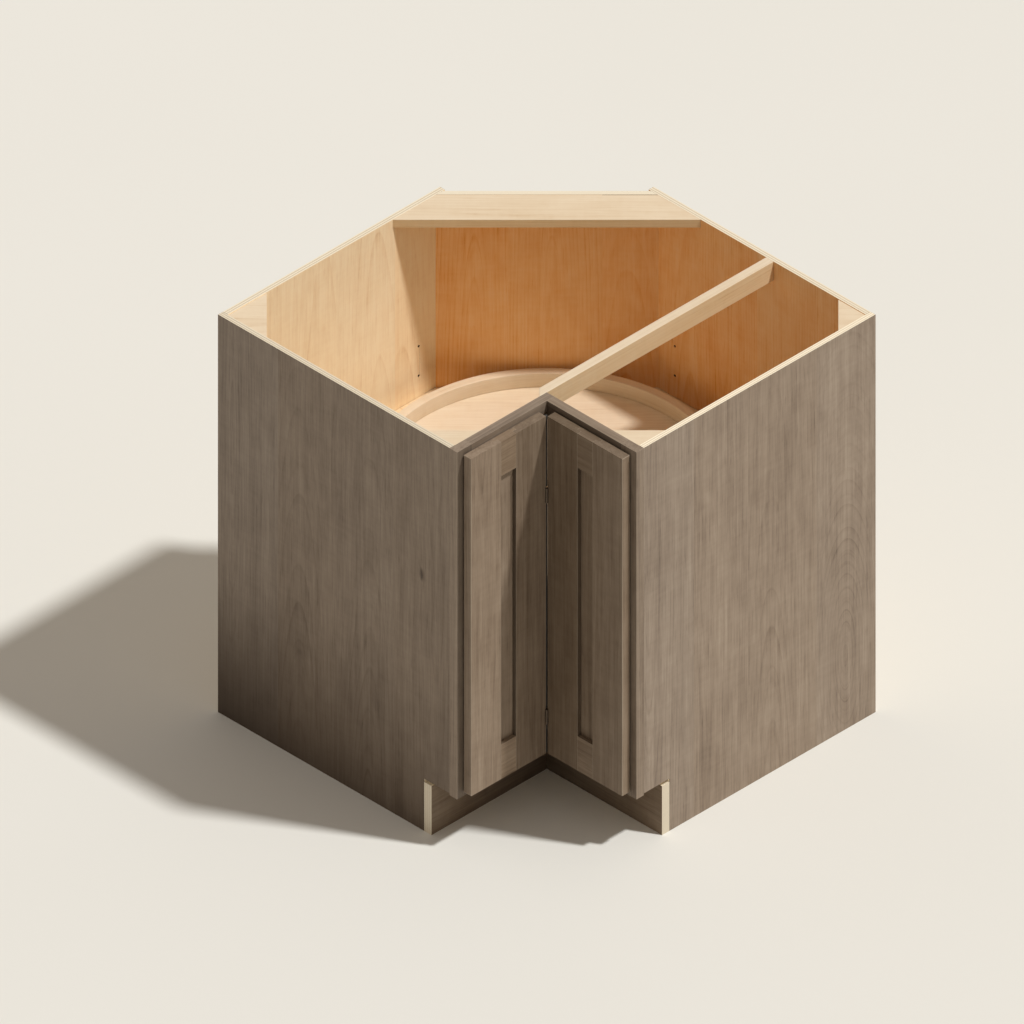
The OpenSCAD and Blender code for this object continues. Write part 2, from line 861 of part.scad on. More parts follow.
module tray_screw_set() {
    for (i = [0 : swivel_screws - 1]) rotate(i * 360 / swivel_screws)
        translate([tray_screw_r, 0, 0]) mirror([0, 0, 1]) children();
}

module at_tray(z) { translate([tray_x, tray_y, z]) children(); }

module lower_swivel_base() { color(steel) at_tray(deck_top) swivel_base(); }
module upper_swivel_base() { color(steel) at_tray(shelf_top) swivel_base(); }
module lower_swivel_balls() { color(bright_steel) at_tray(deck_top) swivel_balls(); }
module upper_swivel_balls() { color(bright_steel) at_tray(shelf_top) swivel_balls(); }
module lower_swivel_top() { color(steel) at_tray(deck_top) swivel_top(); }
module upper_swivel_top() { color(steel) at_tray(shelf_top) swivel_top(); }

module swivel_base_screws() {
    color(bright_steel) for (z = [deck_top, shelf_top]) at_tray(z + swivel_t)
        base_screw_set() screw(base_screw_len - swivel_t);
}

// ---- trays ----

module tray_board() {
    difference() {
        cylinder(r = tray_r, h = tray_board_t, $fn = round_fn);
        tray_screw_set() screw_hole(tray_screw_len);
    }
}

module tray_rim() {
    translate([0, 0, tray_board_t]) difference() {
        cylinder(r = tray_r, h = rim_h, $fn = round_fn);
        translate([0, 0, -eps]) cylinder(r = tray_r - rim_w, h = rim_h + 2 * eps, $fn = round_fn);
    }
}

module tray_screws() {
    translate([0, 0, -swivel_t]) tray_screw_set() screw(tray_screw_len);
}

module lower_tray_board() { color(maple_pale) at_tray(deck_top + swivel_h) tray_board(); }
module lower_tray_rim() { color(maple_pale) at_tray(deck_top + swivel_h) tray_rim(); }
module lower_tray_screws() { color(bright_steel) at_tray(deck_top + swivel_h) tray_screws(); }
module upper_tray_board() { color(maple_pale) at_tray(shelf_top + swivel_h) tray_board(); }
module upper_tray_rim() { color(maple_pale) at_tray(shelf_top + swivel_h) tray_rim(); }
module upper_tray_screws() { color(bright_steel) at_tray(shelf_top + swivel_h) tray_screws(); }

// ---- the assembly ----

left_side_panel();
right_side_panel();
left_wall_panel();
right_wall_panel();
diagonal_back_panel();
bottom_deck();
carousel_shelf();
shelf_pins();
rear_top_brace();
top_stretcher();
corner_blocks();
left_outer_stile();
right_outer_stile();
left_top_rail();
right_top_rail();
left_bottom_rail();
right_bottom_rail();
left_toe_board();
right_toe_board();
deck_posts();
deck_cleats();
hinge_arms();
hinge_arm_screws();
magnet_catch();
catch_screws();
lower_swivel_base();
lower_swivel_balls();
upper_swivel_base();
upper_swivel_balls();
swivel_base_screws();
left_door_hinge_stile();
left_door_corner_stile();
left_door_top_rail();
left_door_bottom_rail();
left_door_panel();
hinge_cups();
hinge_pins();
hinge_cup_screws();
fold_hinge_left_leaves();
fold_hinge_pins();
fold_hinge_left_screws();
right_door_free_stile();
right_door_corner_stile();
right_door_top_rail();
right_door_bottom_rail();
right_door_panel();
fold_hinge_right_leaves();
fold_hinge_right_screws();
catch_strike();
door_bumpers();
lower_tray_board();
lower_tray_rim();
lower_swivel_top();
lower_tray_screws();
upper_tray_board();
upper_tray_rim();
upper_swivel_top();
upper_tray_screws();
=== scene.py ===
# %% [markdown]
# # A corner carousel cabinet, finished in Blender
#
# The cabinet stands in a kitchen corner: two wall runs, a diagonal back, a folding corner
# door and two round trays that turn inside. Its pieces, sizes and joints come ready made as
# a fixed frame. This lesson gives every piece its surface: stained maple outside, clear
# maple inside, plywood edges, zinc and nickel on the fittings. All lengths are in metres.

import json
import math
import random

import bmesh
import bpy
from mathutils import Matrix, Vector


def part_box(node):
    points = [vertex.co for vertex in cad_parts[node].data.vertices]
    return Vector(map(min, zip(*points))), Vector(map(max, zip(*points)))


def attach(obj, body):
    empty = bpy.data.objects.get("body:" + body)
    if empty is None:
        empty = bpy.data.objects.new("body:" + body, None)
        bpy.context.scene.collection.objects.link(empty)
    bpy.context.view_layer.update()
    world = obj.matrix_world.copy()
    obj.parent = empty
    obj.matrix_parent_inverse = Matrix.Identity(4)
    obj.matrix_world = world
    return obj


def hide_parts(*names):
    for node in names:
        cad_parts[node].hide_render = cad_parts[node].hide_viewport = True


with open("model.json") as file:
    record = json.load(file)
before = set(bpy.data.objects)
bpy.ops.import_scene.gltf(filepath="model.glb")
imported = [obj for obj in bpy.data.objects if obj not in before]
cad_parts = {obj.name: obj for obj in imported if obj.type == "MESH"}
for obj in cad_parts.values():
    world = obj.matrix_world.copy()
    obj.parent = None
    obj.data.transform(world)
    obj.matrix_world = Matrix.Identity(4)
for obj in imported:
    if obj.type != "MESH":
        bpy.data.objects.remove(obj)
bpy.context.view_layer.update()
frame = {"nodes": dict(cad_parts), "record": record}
body_of_node = {node: body for body, nodes in frame["record"]["behaviour"]["bodies"].items()
                for node in nodes}
slot_of_node = {part["node"]: part["material_slot"] for part in frame["record"]["subparts"]}

# %% [markdown]
# ## Directions
#
# A joiner names three directions in a board: along the grain, across the face, and through
# the thickness. The two wall runs lie along X and Y, and the diagonal back runs at 45
# degrees between them. Angles or rotation matrices could describe that, but a handful of
# unit vectors names every board in the cabinet and reads like the joiner's own words.

# %% Directions of the boards
X, Y, Z = Vector((1, 0, 0)), Vector((0, 1, 0)), Vector((0, 0, 1))
DIAGONAL = (X + Y).normalized()        # the way the diagonal back runs
TO_USER = (X - Y).normalized()         # from the diagonal back to the doors
MM = 0.001
print("diagonal", tuple(round(v, 3) for v in DIAGONAL))

# %% [markdown]
# ## A short way to wire shader nodes
#
# Every finish here is a tree of shader nodes. It could be written out node by node, but such
# a tree hides what it does. This small class adds a node, wires what it is given and hands
# back the output, so that a finish further down reads like a recipe.

# %% Tree: add nodes and wire them
class Tree:
    """A new material, and short calls that add its nodes and wire them."""

    def __init__(self, name):
        self.material = bpy.data.materials.new(name)
        self.material.use_nodes = True
        self.tree = self.material.node_tree
        self.tree.nodes.clear()

    def add(self, kind, wires, out=0, **settings):
        """Adds a node. An output is wired to its socket, any other value is written there."""
        node = self.tree.nodes.new(kind)
        for name, value in settings.items():
            setattr(node, name, value)
        for socket, value in wires.items():
            if isinstance(value, bpy.types.NodeSocket):
                self.tree.links.new(value, node.inputs[socket])
            else:
                node.inputs[socket].default_value = value
        return node.outputs[out]

    def attribute(self, name):
        return self.add("ShaderNodeAttribute", {}, out=1, attribute_name=name)

    def place(self):
        """Where a point is on the object itself, in metres."""
        return self.add("ShaderNodeTexCoord", {}, out=3)

    def split(self, vector):
        node = self.add("ShaderNodeSeparateXYZ", {0: vector}).node
        return node.outputs[0], node.outputs[1], node.outputs[2]

    def math(self, operation, a, b=0.0, clamp=False):
        return self.add("ShaderNodeMath", {0: a, 1: b}, operation=operation, use_clamp=clamp)

    def length(self, vector):
        return self.add("ShaderNodeVectorMath", {0: vector}, out=1, operation="LENGTH")

    def shift(self, vector, by):
        return self.add("ShaderNodeVectorMath", {0: vector, 1: by}, operation="ADD")

    def stretch(self, vector, scale):
        return self.add("ShaderNodeVectorMath", {0: vector, 1: scale}, operation="MULTIPLY")


print("a tree can", [name for name in vars(Tree) if not name.startswith("_")])

# %% [markdown]
# ## Ingredients for a finish
#
# Wood, plate and rubber all need the same few ingredients: noise that can be stretched along
# the grain, a ramp of colours, a blend, a weighted sum and a closing surface. A constant, such
# as the specular level, goes straight onto the closing shader's own socket, because only
# there does it reach a model that is exported from this scene.

# %% Recipe: noise, colours and the closing surface
class Recipe(Tree):
    """A tree with the ingredients of a finish."""

    def noise(self, vector, scale, detail=2.0, rough=0.5, out=0):
        """Noise from 0 to 1, with its own scale along each direction; out=1 gives three."""
        return self.add("ShaderNodeTexNoise", {"Vector": self.stretch(vector, scale), "Scale": 1.0,
                                               "Detail": detail, "Roughness": rough}, out=out)

    def ramp(self, factor, stops):
        """A smooth run of grey values or colours: stops are (place, value) pairs."""
        output = self.add("ShaderNodeValToRGB", {0: factor})
        elements = output.node.color_ramp.elements
        while len(elements) < len(stops):
            elements.new(0.5)
        for element, (place, value) in zip(elements, stops):
            element.position = place
            element.color = (value, value, value, 1) if isinstance(value, float) else (*value, 1)
        return output

    def blend(self, factor, a, b, kind="MIX"):
        """Mixes two colours."""
        return self.add("ShaderNodeMix", {0: factor, 6: a, 7: b}, out=2, data_type="RGBA",
                        blend_type=kind)

    def sum(self, start, *weighted):
        """start plus each weight times (value - middle)."""
        total = start
        for value, middle, weight in weighted:
            part = self.math("MULTIPLY", self.math("SUBTRACT", value, middle), weight)
            total = self.math("ADD", total, part)
        return total

    def surface(self, height=None, depth=0.0, strength=1.0, **sockets):
        """The closing shader. Constant values go straight onto its own sockets."""
        wires = {name.replace("_", " ").title().replace("Ior", "IOR"): value
                 for name, value in sockets.items()}
        if height is not None:
            wires["Normal"] = self.add("ShaderNodeBump", {"Height": height, "Distance": depth,
                                                          "Strength": strength})
        shader = self.add("ShaderNodeBsdfPrincipled", wires)
        output = self.tree.nodes.new("ShaderNodeOutputMaterial")
        self.tree.links.new(shader, output.inputs["Surface"])
        return self.material


print("a recipe adds", [name for name in vars(Recipe) if not name.startswith("_")])

# %% [markdown]
# ## What makes maple look like maple
#
# A tree grows in rings round its pith, and a board is a flat cut through them. Where the cut
# runs nearly parallel to the rings it shows arches, and beside them the rings crowd into
# straight lines. A flat picture of grain can't turn a corner, so this recipe works in three
# dimensions instead. Each board carries an attribute named pith: how far a point is from the
# board's own pith, across and through. The rings are then simply that distance, and the face,
# the edge and the end of a board agree with each other. A second attribute, knot, is the
# distance from a knot.

# %% Rings and knots
RING = 6.5 * MM                      # from one year's ring to the next
SWAY = 20 * MM                       # how far a ring strays from a true circle
SCALES = {                           # of each noise, per metre: across, through and along
    "sway": (5, 5, 1.5), "patch": (9, 9, 2.2), "ragged": (160, 160, 45),
    "fibre": (240, 240, 6.5), "streak": (85, 85, 1.8), "cloud": (8, 8, 3.5),
    "mottle": (38, 38, 20), "ripple": (24, 24, 110), "fleck": (560, 560, 26),
}


def knot_and_core(r, grain):
    """The wood that bends round a knot, and the knot's own dark core."""
    ragged = r.noise(grain, SCALES["ragged"])
    away = r.sum(r.length(r.attribute("knot")), (ragged, 0.5, 0.10))
    knot = r.ramp(away, [(0.0, 1.0), (0.25, 0.45), (1.0, 0.0)])
    core = r.ramp(away, [(0.02, 1.0), (0.07, 0.7), (0.13, 0.0)])
    return knot, core


def late_wood(r, grain, knot):
    """The dark late wood of the rings. No two years are alike, and the rings fade over the
    board and away from the pith."""
    sway = r.stretch(r.noise(grain, SCALES["sway"], out=1), (SWAY, SWAY, 0.0))
    bent = r.shift(r.attribute("pith"), sway)
    radius = r.length(r.stretch(bent, (1, 1, 0)))
    radius = r.math("ADD", radius, r.math("MULTIPLY", knot, 2.2 * RING))
    ring = r.math("FRACT", r.math("DIVIDE", radius, RING))
    late = r.ramp(ring, [(0.0, 0.0), (0.45, 0.12), (0.82, 0.75), (0.93, 1.0), (1.0, 0.0)])
    patch = r.noise(grain, SCALES["patch"], detail=1.0)
    year = r.add("ShaderNodeTexNoise", {"W": r.math("MULTIPLY", radius, 0.6 / RING),
                                        "Detail": 1.0}, noise_dimensions="1D")
    late = r.math("MULTIPLY", late, r.ramp(patch, [(0.30, 0.25), (0.70, 1.0)]))
    late = r.math("MULTIPLY", late, r.ramp(year, [(0.36, 0.15), (0.62, 1.0)]))
    return r.math("MULTIPLY", late, r.ramp(radius, [(0.03, 1.0), (0.11, 0.30)]))


print("rings", round(RING / MM, 1), "mm apart")

# %% [markdown]
# ## Fibres, stain and wear
#
# Between the rings lie fine fibres, short flecks, soft clouds and a faint cross ripple. They
# are noise, each stretched along the grain by its own amount, and they read the attribute
# grain: across, through and along. A last attribute, board, holds how dark and how warm the
# board is, which on many boards also holds painted shade and painted light, and where its
# edges are rounded; those edges get a lighter colour, partly wear and partly a painted
# highlight. On the left side panel painted shade darkens the wood near the floor and towards
# the back; it follows the height and place on the panel, so it stays put in every view.

# %% The recipe for maple
LOW_SHADE_COLOUR = (0.050, 0.031, 0.018, 1)    # painted shade colour, darkest near the floor at the back
LOW_SHADE_HEIGHT = 0.36                 # how high that reaches


def low_shade(r, cloud, low):
    """How strongly painted shade darkens a point: most near the floor and at the back."""
    place = r.split(r.place())
    x, z = place[0], place[2]
    height = r.math("DIVIDE", r.sum(z, (cloud, 0.5, 0.08)), LOW_SHADE_HEIGHT)
    shade_near_floor = r.ramp(height, [(0.0, 1.0), (0.35, 0.66), (1.0, 0.0)])
    behind = r.ramp(r.math("ADD", x, 0.42), [(0.0, 1.0), (0.60, 0.55)])
    return r.math("MULTIPLY", r.math("MULTIPLY", shade_near_floor, behind), low)


def maple(name, stops, worn, rings=0.30, fibres=0.62, clouds=0.35, gloss=0.50, low=0.0,
          redder=0.0):
    """Maple in the colours of stops, dark to light. The edge colour is the lighter colour of the
    rounded edges, partly wear and partly a painted highlight; low is how strongly painted shade
    darkens the board near the floor and towards the back, and redder how far a warm board's hue
    turns towards red."""
    r = Recipe(name)
    grain = r.attribute("grain")
    tone, warmth, wear_and_highlight = r.split(r.attribute("board"))
    knot, core = knot_and_core(r, grain)
    late = late_wood(r, grain, knot)
    fibre = r.noise(grain, SCALES["fibre"], detail=4.0, rough=0.72)
    streak = r.noise(grain, SCALES["streak"], detail=3.0, rough=0.6)
    cloud = r.noise(grain, SCALES["cloud"], detail=3.0)
    mottle = r.noise(grain, SCALES["mottle"])
    ripple = r.noise(grain, SCALES["ripple"], detail=1.0)
    fleck = r.ramp(r.noise(grain, SCALES["fleck"], detail=1.0), [(0.60, 0.0), (0.72, 1.0)])

    value = r.sum(0.5, (late, 0.12, -rings), (fibre, 0.5, fibres), (streak, 0.5, 0.7 * fibres),
                  (cloud, 0.5, clouds), (mottle, 0.5, 0.30), (ripple, 0.5, 0.12),
                  (fleck, 0.0, -0.12), (knot, 0.0, -0.10), (core, 0.0, -0.42))
    colour = r.ramp(value, stops)
    # painted shade: the wood darkens towards the floor and towards the back
    if low:
        colour = r.blend(low_shade(r, cloud, low), colour, LOW_SHADE_COLOUR)
    colour = r.add("ShaderNodeHueSaturation", {
        "Hue": r.sum(0.5, (warmth, 0.0, -redder)), "Saturation": r.sum(1.0, (warmth, 0.0, 0.5)),
        "Value": r.sum(1.0, (tone, 0.0, 0.3)), "Color": colour})
    # lighter rounded edges: partly wear, partly a painted highlight
    rubbed_and_highlit = r.math("MULTIPLY", wear_and_highlight, r.ramp(streak, [(0.3, 0.25), (0.7, 0.9)]))
    colour = r.blend(rubbed_and_highlit, colour, (*worn, 1))

    rough = r.sum(gloss, (fibre, 0.5, 0.16), (cloud, 0.5, 0.10))
    height = r.sum(0.5, (fibre, 0.5, 0.7), (fleck, 0.0, -0.6), (late, 0.5, -0.25))
    return r.surface(height=height, depth=0.10 * MM, strength=0.5, base_color=colour,
                     roughness=rough, specular_ior_level=0.25)


print("maple stirs together", len(SCALES), "noises")

# %% [markdown]
# ## Four finishes of maple
#
# The outside wears a grey-brown stain, the inside a clear varnish that has gone golden, and
# the trays and braces are left pale. Each is the same recipe with its own run of colours from
# dark to light, so the cabinet looks cut from one kind of tree.

# %% Stained, clear and pale maple
STAIN = [(0.0, (0.085, 0.060, 0.042)), (0.35, (0.215, 0.160, 0.115)),
         (0.60, (0.285, 0.220, 0.163)), (1.0, (0.400, 0.325, 0.250))]
VARNISH = [(0.0, (0.560, 0.310, 0.130)), (0.35, (0.790, 0.575, 0.340)),
           (0.60, (0.860, 0.675, 0.430)), (1.0, (0.895, 0.755, 0.545))]
BARE = [(0.0, (0.545, 0.365, 0.210)), (0.35, (0.740, 0.590, 0.415)),
        (0.60, (0.800, 0.663, 0.490)), (1.0, (0.850, 0.737, 0.575))]
# each finish gives a lighter colour for its rounded edges: partly wear, partly a painted highlight
stained = maple("stained_maple", STAIN, worn=(0.42, 0.35, 0.27), fibres=0.72)
# the left side panel's stain, with painted shade near the floor and at the back
low_shaded_stain = maple("stained_maple_with_low_shade", STAIN, worn=(0.42, 0.35, 0.27), fibres=0.72,
                     low=0.90)
clear = maple("clear_maple", VARNISH, worn=(0.88, 0.74, 0.55), rings=0.45, fibres=0.5,
              clouds=0.3, gloss=0.42, redder=0.022)
pale = maple("pale_maple", BARE, worn=(0.86, 0.75, 0.58), rings=0.30, fibres=0.5, clouds=0.3,
             gloss=0.45)
print("maple finishes:", stained.name, low_shaded_stain.name, clear.name, pale.name)

# %% [markdown]
# ## Plywood edges
#
# The panels are plywood, and a sawn plywood edge shows its plies as stripes: plies whose
# grain runs along the edge are pale and smooth, and those between them show end grain and
# are browner, with a hairline of glue at each joint. The plies could be separate thin solids,
# but stripes in the shader cost nothing. Here the grain attribute's first number is the
# distance through the panel, so the stripes follow the panel wherever it stands.

# %% The sawn edge of plywood
PLY = 2.54 * MM
STAINED_SKIN = 5 * PLY - 0.7 * MM    # where a side panel's stained outer face starts


def ply_edge(name, light, dark, glue, stained_skin=None):
    """stained_skin is the distance through the panel at which its stained face ply starts."""
    r = Recipe(name)
    grain = r.attribute("grain")
    tone = r.split(r.attribute("board"))[0]
    through = r.split(grain)[0]
    wander = r.noise(grain, (30, 30, 9), detail=1.0)
    place = r.math("DIVIDE", r.sum(through, (wander, 0.5, 0.5 * MM)), PLY)
    from_middle = r.math("SUBTRACT", r.math("MODULO", r.math("ADD", place, 1.5), 2.0), 1.0)
    crossed = r.ramp(r.math("ABSOLUTE", from_middle), [(0.26, 1.0), (0.42, 0.0)])
    fibre = r.noise(grain, (1500, 300, 18), detail=3.0)
    end_grain = r.noise(grain, (1600, 1600, 420))
    pore = r.ramp(end_grain, [(0.45, 0.0), (0.70, 1.0)])
    near_glue = r.ramp(r.math("PINGPONG", place, 0.5), [(0.0, 1.0), (0.10, 0.0)])
    shade = r.math("MULTIPLY", crossed, r.sum(0.75, (pore, 0.5, 0.5)), clamp=True)
    colour = r.blend(shade, (*light, 1), (*dark, 1))
    colour = r.blend(r.math("MULTIPLY", near_glue, 0.40), colour, (*glue, 1))
    if stained_skin:
        skin = r.math("GREATER_THAN", through, stained_skin)
        colour = r.blend(skin, colour, (0.12, 0.085, 0.058, 1))
    colour = r.add("ShaderNodeHueSaturation", {
        "Value": r.sum(1.0, (fibre, 0.5, 0.22), (tone, 0.0, 0.3)), "Color": colour})
    height = r.sum(0.5, (fibre, 0.5, 0.6), (shade, 0.5, -0.4), (near_glue, 0.0, -0.3))
    return r.surface(height=height, depth=0.15 * MM, strength=0.6, base_color=colour,
                     roughness=0.62, specular_ior_level=0.3)


PLIES = (0.88, 0.79, 0.62), (0.52, 0.39, 0.25), (0.30, 0.20, 0.12)
ply = ply_edge("plywood_edge", *PLIES)
side_ply = ply_edge("stained_panel_edge", *PLIES, stained_skin=STAINED_SKIN)
raw_ply = ply_edge("raw_board_end", (0.86, 0.77, 0.61), (0.76, 0.64, 0.47), (0.55, 0.42, 0.28))
# painted shade: near-black plywood for the walls of the pin holes
hole_shade_finish = ply_edge("bored_hole_shade", (0.11, 0.065, 0.035), (0.06, 0.035, 0.018), (0.03, 0.018, 0.01))
print("edge finishes:", ply.name, side_ply.name, raw_ply.name, hole_shade_finish.name)

# %% [markdown]
# ## Metal, plastic and rubber
#
# The fittings are small pressed steel parts. Zinc plate is a cool grey with faint crystals,
# and nickel is warmer and brighter. Both pick up fine scratches, which show only as changes
# in roughness. The hinges that fold the door are bronzed, the catch is moulded plastic and
# the door bumpers are soft rubber. Two recipes cover them all, one for plate and one for
# mouldings, because within each kind only colour, gloss and grain differ.

# %% Fittings
def plated(name, colour, rough, cells):
    """Plated steel: crystals or a brushed haze in the roughness, and a trace of tarnish."""
    r = Recipe(name)
    place = r.place()
    crystal = r.add("ShaderNodeTexVoronoi", {"Vector": place, "Scale": cells}, out=1)
    haze = r.noise(place, (900, 900, 60), detail=3.0)
    patch = r.noise(place, (60,) * 3, detail=3.0)
    tint = r.ramp(patch, [(0.3, tuple(0.86 * v for v in colour)), (0.7, colour)])
    shine = r.sum(rough, (haze, 0.5, 0.22), (patch, 0.5, 0.12))
    tint = r.blend(0.06, tint, crystal, kind="OVERLAY")
    return r.surface(height=haze, depth=0.02 * MM, strength=0.4, base_color=tint,
                     roughness=shine, metallic=1.0)


def moulded(name, colour, rough, grain_size):
    """Moulded plastic or rubber with the fine texture of its mould."""
    r = Recipe(name)
    place = r.place()
    skin = r.noise(place, (grain_size,) * 3)
    dust = r.noise(place, (70,) * 3, detail=3.0)
    tint = r.ramp(dust, [(0.3, colour), (0.8, tuple(1.35 * v + 0.01 for v in colour))])
    return r.surface(height=skin, depth=0.05 * MM, strength=0.5, base_color=tint,
                     roughness=r.sum(rough, (skin, 0.5, 0.2)))


zinc = plated("zinc_plate", (0.50, 0.49, 0.47), 0.40, 420.0)
bronzed = plated("bronzed_plate", (0.115, 0.088, 0.066), 0.50, 900.0)
nickel = plated("nickel_plate", (0.70, 0.67, 0.62), 0.28, 1500.0)
plastic = moulded("brown_plastic", (0.060, 0.045, 0.034), 0.42, 2600.0)
rubber = moulded("bumper_rubber", (0.030, 0.027, 0.024), 0.68, 1800.0)
print("fittings:", [m.name for m in (zinc, bronzed, nickel, plastic, rubber)])

# %% [markdown]
# ## Boards with soft arrises
#
# A sharp edge never survives sandpaper. Catching the light, the narrow rounded arris is what
# tells the eye that a board is real. A Bevel modifier would round every edge it finds,
# drilled holes too, so the edges are picked here: only long, outward edges are rounded. Each
# board is a copy of the frame's solid, cleaned of its triangles, and it stands in for that
# solid.

# %% Copy a solid and round its arrises
SHARP = math.radians(35)             # a sharper turn than this counts as an edge
FLAT = math.radians(0.2)             # triangles that turn less are one flat face
SHORTEST = 4 * MM                    # the shortest edge worth rounding
SAME_POINT, SAME_LINE = 0.001 * MM, 0.05 * MM


def solid_of(node):
    """The frame's solid as a clean mesh: welded, with its flat faces whole."""
    bm = bmesh.new()
    bm.from_mesh(frame["nodes"][node].data)
    bmesh.ops.remove_doubles(bm, verts=bm.verts, dist=SAME_POINT)
    bmesh.ops.dissolve_limit(bm, verts=bm.verts, edges=bm.edges, angle_limit=FLAT)
    return bm


def on_outline(edge, outline):
    """True for an edge that lies on an edge of the outline box."""
    shared = 0
    for axis in range(3):
        ends = [v.co[axis] for v in edge.verts]
        shared += any(all(abs(end - corner[axis]) < SAME_LINE for end in ends)
                      for corner in outline)
    return shared >= 2


def middle_of(face):
    return tuple(round(v, 5) for v in face.calc_center_median())


def round_arrises(bm, width, outline=None, wide=0.0):
    """Rounds the long outward edges, those on the outline box more, and returns the middle
    of each new face."""
    picked = [e for e in bm.edges if len(e.link_faces) == 2 and e.is_convex
              and e.calc_length() > SHORTEST and e.calc_face_angle() > SHARP]
    outer = [e for e in picked if outline and on_outline(e, outline)]
    inner = [e for e in picked if e not in set(outer)]
    middles = set()
    for edges, size in ((inner, width), (outer, wide)):
        edges = [e for e in edges if e.is_valid]
        if edges and size:
            made = bmesh.ops.bevel(bm, geom=edges, offset=size, offset_type="OFFSET",
                                   segments=2, profile=0.5, affect="EDGES",
                                   clamp_overlap=True)
            middles |= {middle_of(f) for f in made["faces"] if f.is_valid}
    return middles


print("arrises turn more than", round(math.degrees(SHARP)), "degrees")

# %% [markdown]
# ## Giving a board its grain
#
# A Leaf is one cut of wood: a strip of veneer, a plank of a glued-up board, or a whole
# solid member. It knows where its pith lies, how the cut tapers away from the pith, which is
# what draws the arches, and how dark and warm it is. A panel could be one leaf, but then it
# would look printed, so panels are cut into leaves along real joint lines, and neighbouring
# leaves differ as they do on a real panel.

# %% Leaves of veneer
class Leaf:
    """pith is its place across the board, depth how far behind the face it lies and taper
    how fast that changes along the board. slide shifts the noise from leaf to leaf."""

    def __init__(self, pith, depth, taper, tone, warmth, slide):
        self.pith, self.depth, self.taper = pith, depth, taper
        self.tone, self.warmth, self.slide = tone, warmth, slide
        self.knot = None             # where a knot is, across and along


FAR = Vector((9.0, 9.0, 9.0))        # where nothing is near a knot
KNOT_REACH = 55 * MM


def pith_at(leaf, across, through, along):
    """How far a point is from the pith, across and through the board."""
    return Vector((across - leaf.pith, through + leaf.depth + leaf.taper * along, 0))


def knot_at(leaf, across, along):
    """How far a point is from the leaf's knot, as a share of the knot's reach."""
    if leaf.knot is None:
        return FAR
    return Vector((across - leaf.knot[0], 0, 0.42 * (along - leaf.knot[1]))) / KNOT_REACH


def cut_joints(bm, across, joints):
    """Cuts a mesh along the joint lines between leaves."""
    for place in joints:
        geometry = bm.verts[:] + bm.edges[:] + bm.faces[:]
        bmesh.ops.bisect_plane(bm, geom=geometry, plane_co=across * place, plane_no=across)


def leaf_number(joints, place):
    return sum(place > joint for joint in joints)


def own_luck(name):
    """A random generator that gives a piece the same luck on every run."""
    return random.Random(sum(ord(c) * (i + 1) for i, c in enumerate(name)))


def make_leaves(name, joints, low, high, spread):
    """One leaf for each strip between the joints, with its own pith, tone and place."""
    luck = own_luck(name)
    ends = [low, *joints, high]
    return [Leaf(pith=luck.uniform(start, stop), depth=luck.uniform(0.012, 0.05),
                 taper=luck.choice((-1, 1)) * luck.uniform(0.02, 0.06),
                 tone=luck.uniform(-spread, spread), warmth=luck.uniform(-0.12, 0.12),
                 slide=luck.uniform(2, 40))
            for start, stop in zip(ends, ends[1:])]


print("a knot shows for", KNOT_REACH, "m round its middle")

# %% [markdown]
# ## From solid to finished piece
#
# This is the one place where a mesh becomes a piece: it takes a cleaned solid, writes the
# four attributes on every corner of every face, picks a material for each face and hangs
# the result on the body it moves with. Writing them on corners, not on points, lets the face
# and the edge of a board that share a point carry different numbers.

# %% Write the attributes and make the object
def attribute_layers(bm):
    return [bm.loops.layers.float_vector.new(name) for name in ("grain", "pith", "board", "knot")]


def dress(node, along, across, through, leaves, joints=(), arris=0.5 * MM, materials=(),
          pick=None, edge_of=None, bm=None, outline=None, wide=0.0, look_of=None, fade=None):
    """Makes the finished piece that stands for a CAD node.

    pick(face) gives the index of its material; edge_of(face) is the direction that a sawn
    plywood edge's stripes step along, or None for a face in the maple recipe; look_of(face)
    gives a tone and a warmth to add to the leaf's own; and fade(point) gives a tone that
    changes from one end of a face to the other. Where bm is given, it takes the place of the
    copied solid."""
    bm = bm or solid_of(node)
    arrises = round_arrises(bm, arris, outline, wide) if arris else set()
    # the rounded faces get the lighter edge colour: partly wear, partly a painted highlight
    worn = bm.faces.layers.int.new("worn")
    for face in bm.faces:
        face[worn] = middle_of(face) in arrises
    cut_joints(bm, across, joints)
    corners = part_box(node)
    centre = (corners[0] + corners[1]) / 2
    grain, pith, board, knot = attribute_layers(bm)
    for face in bm.faces:
        middle = face.calc_center_median()
        leaf = leaves[leaf_number(joints, middle.dot(across))]
        face.material_index = pick(face) if pick else 0
        stripes = edge_of(face) if edge_of else None
        start = min(corner.dot(stripes) for corner in corners) if stripes else 0.0
        more_tone, more_warmth = look_of(face) if look_of else (0.0, 0.0)
        for loop in face.loops:
            point = loop.vert.co
            a, t, l = point.dot(across), (point - centre).dot(through), point.dot(along)
            loop[pith] = pith_at(leaf, a, t, l)
            if stripes is None:
                loop[grain] = Vector((a, t, l + leaf.slide))
            else:
                loop[grain] = Vector((point.dot(stripes) - start, a if stripes != across else t, l))
            tone = leaf.tone + more_tone + (fade(point) if fade else 0.0)
            loop[board] = Vector((tone, leaf.warmth + more_warmth, face[worn]))
            loop[knot] = knot_at(leaf, a, l)
    return finish_piece(bm, node + "_finished", node, materials)


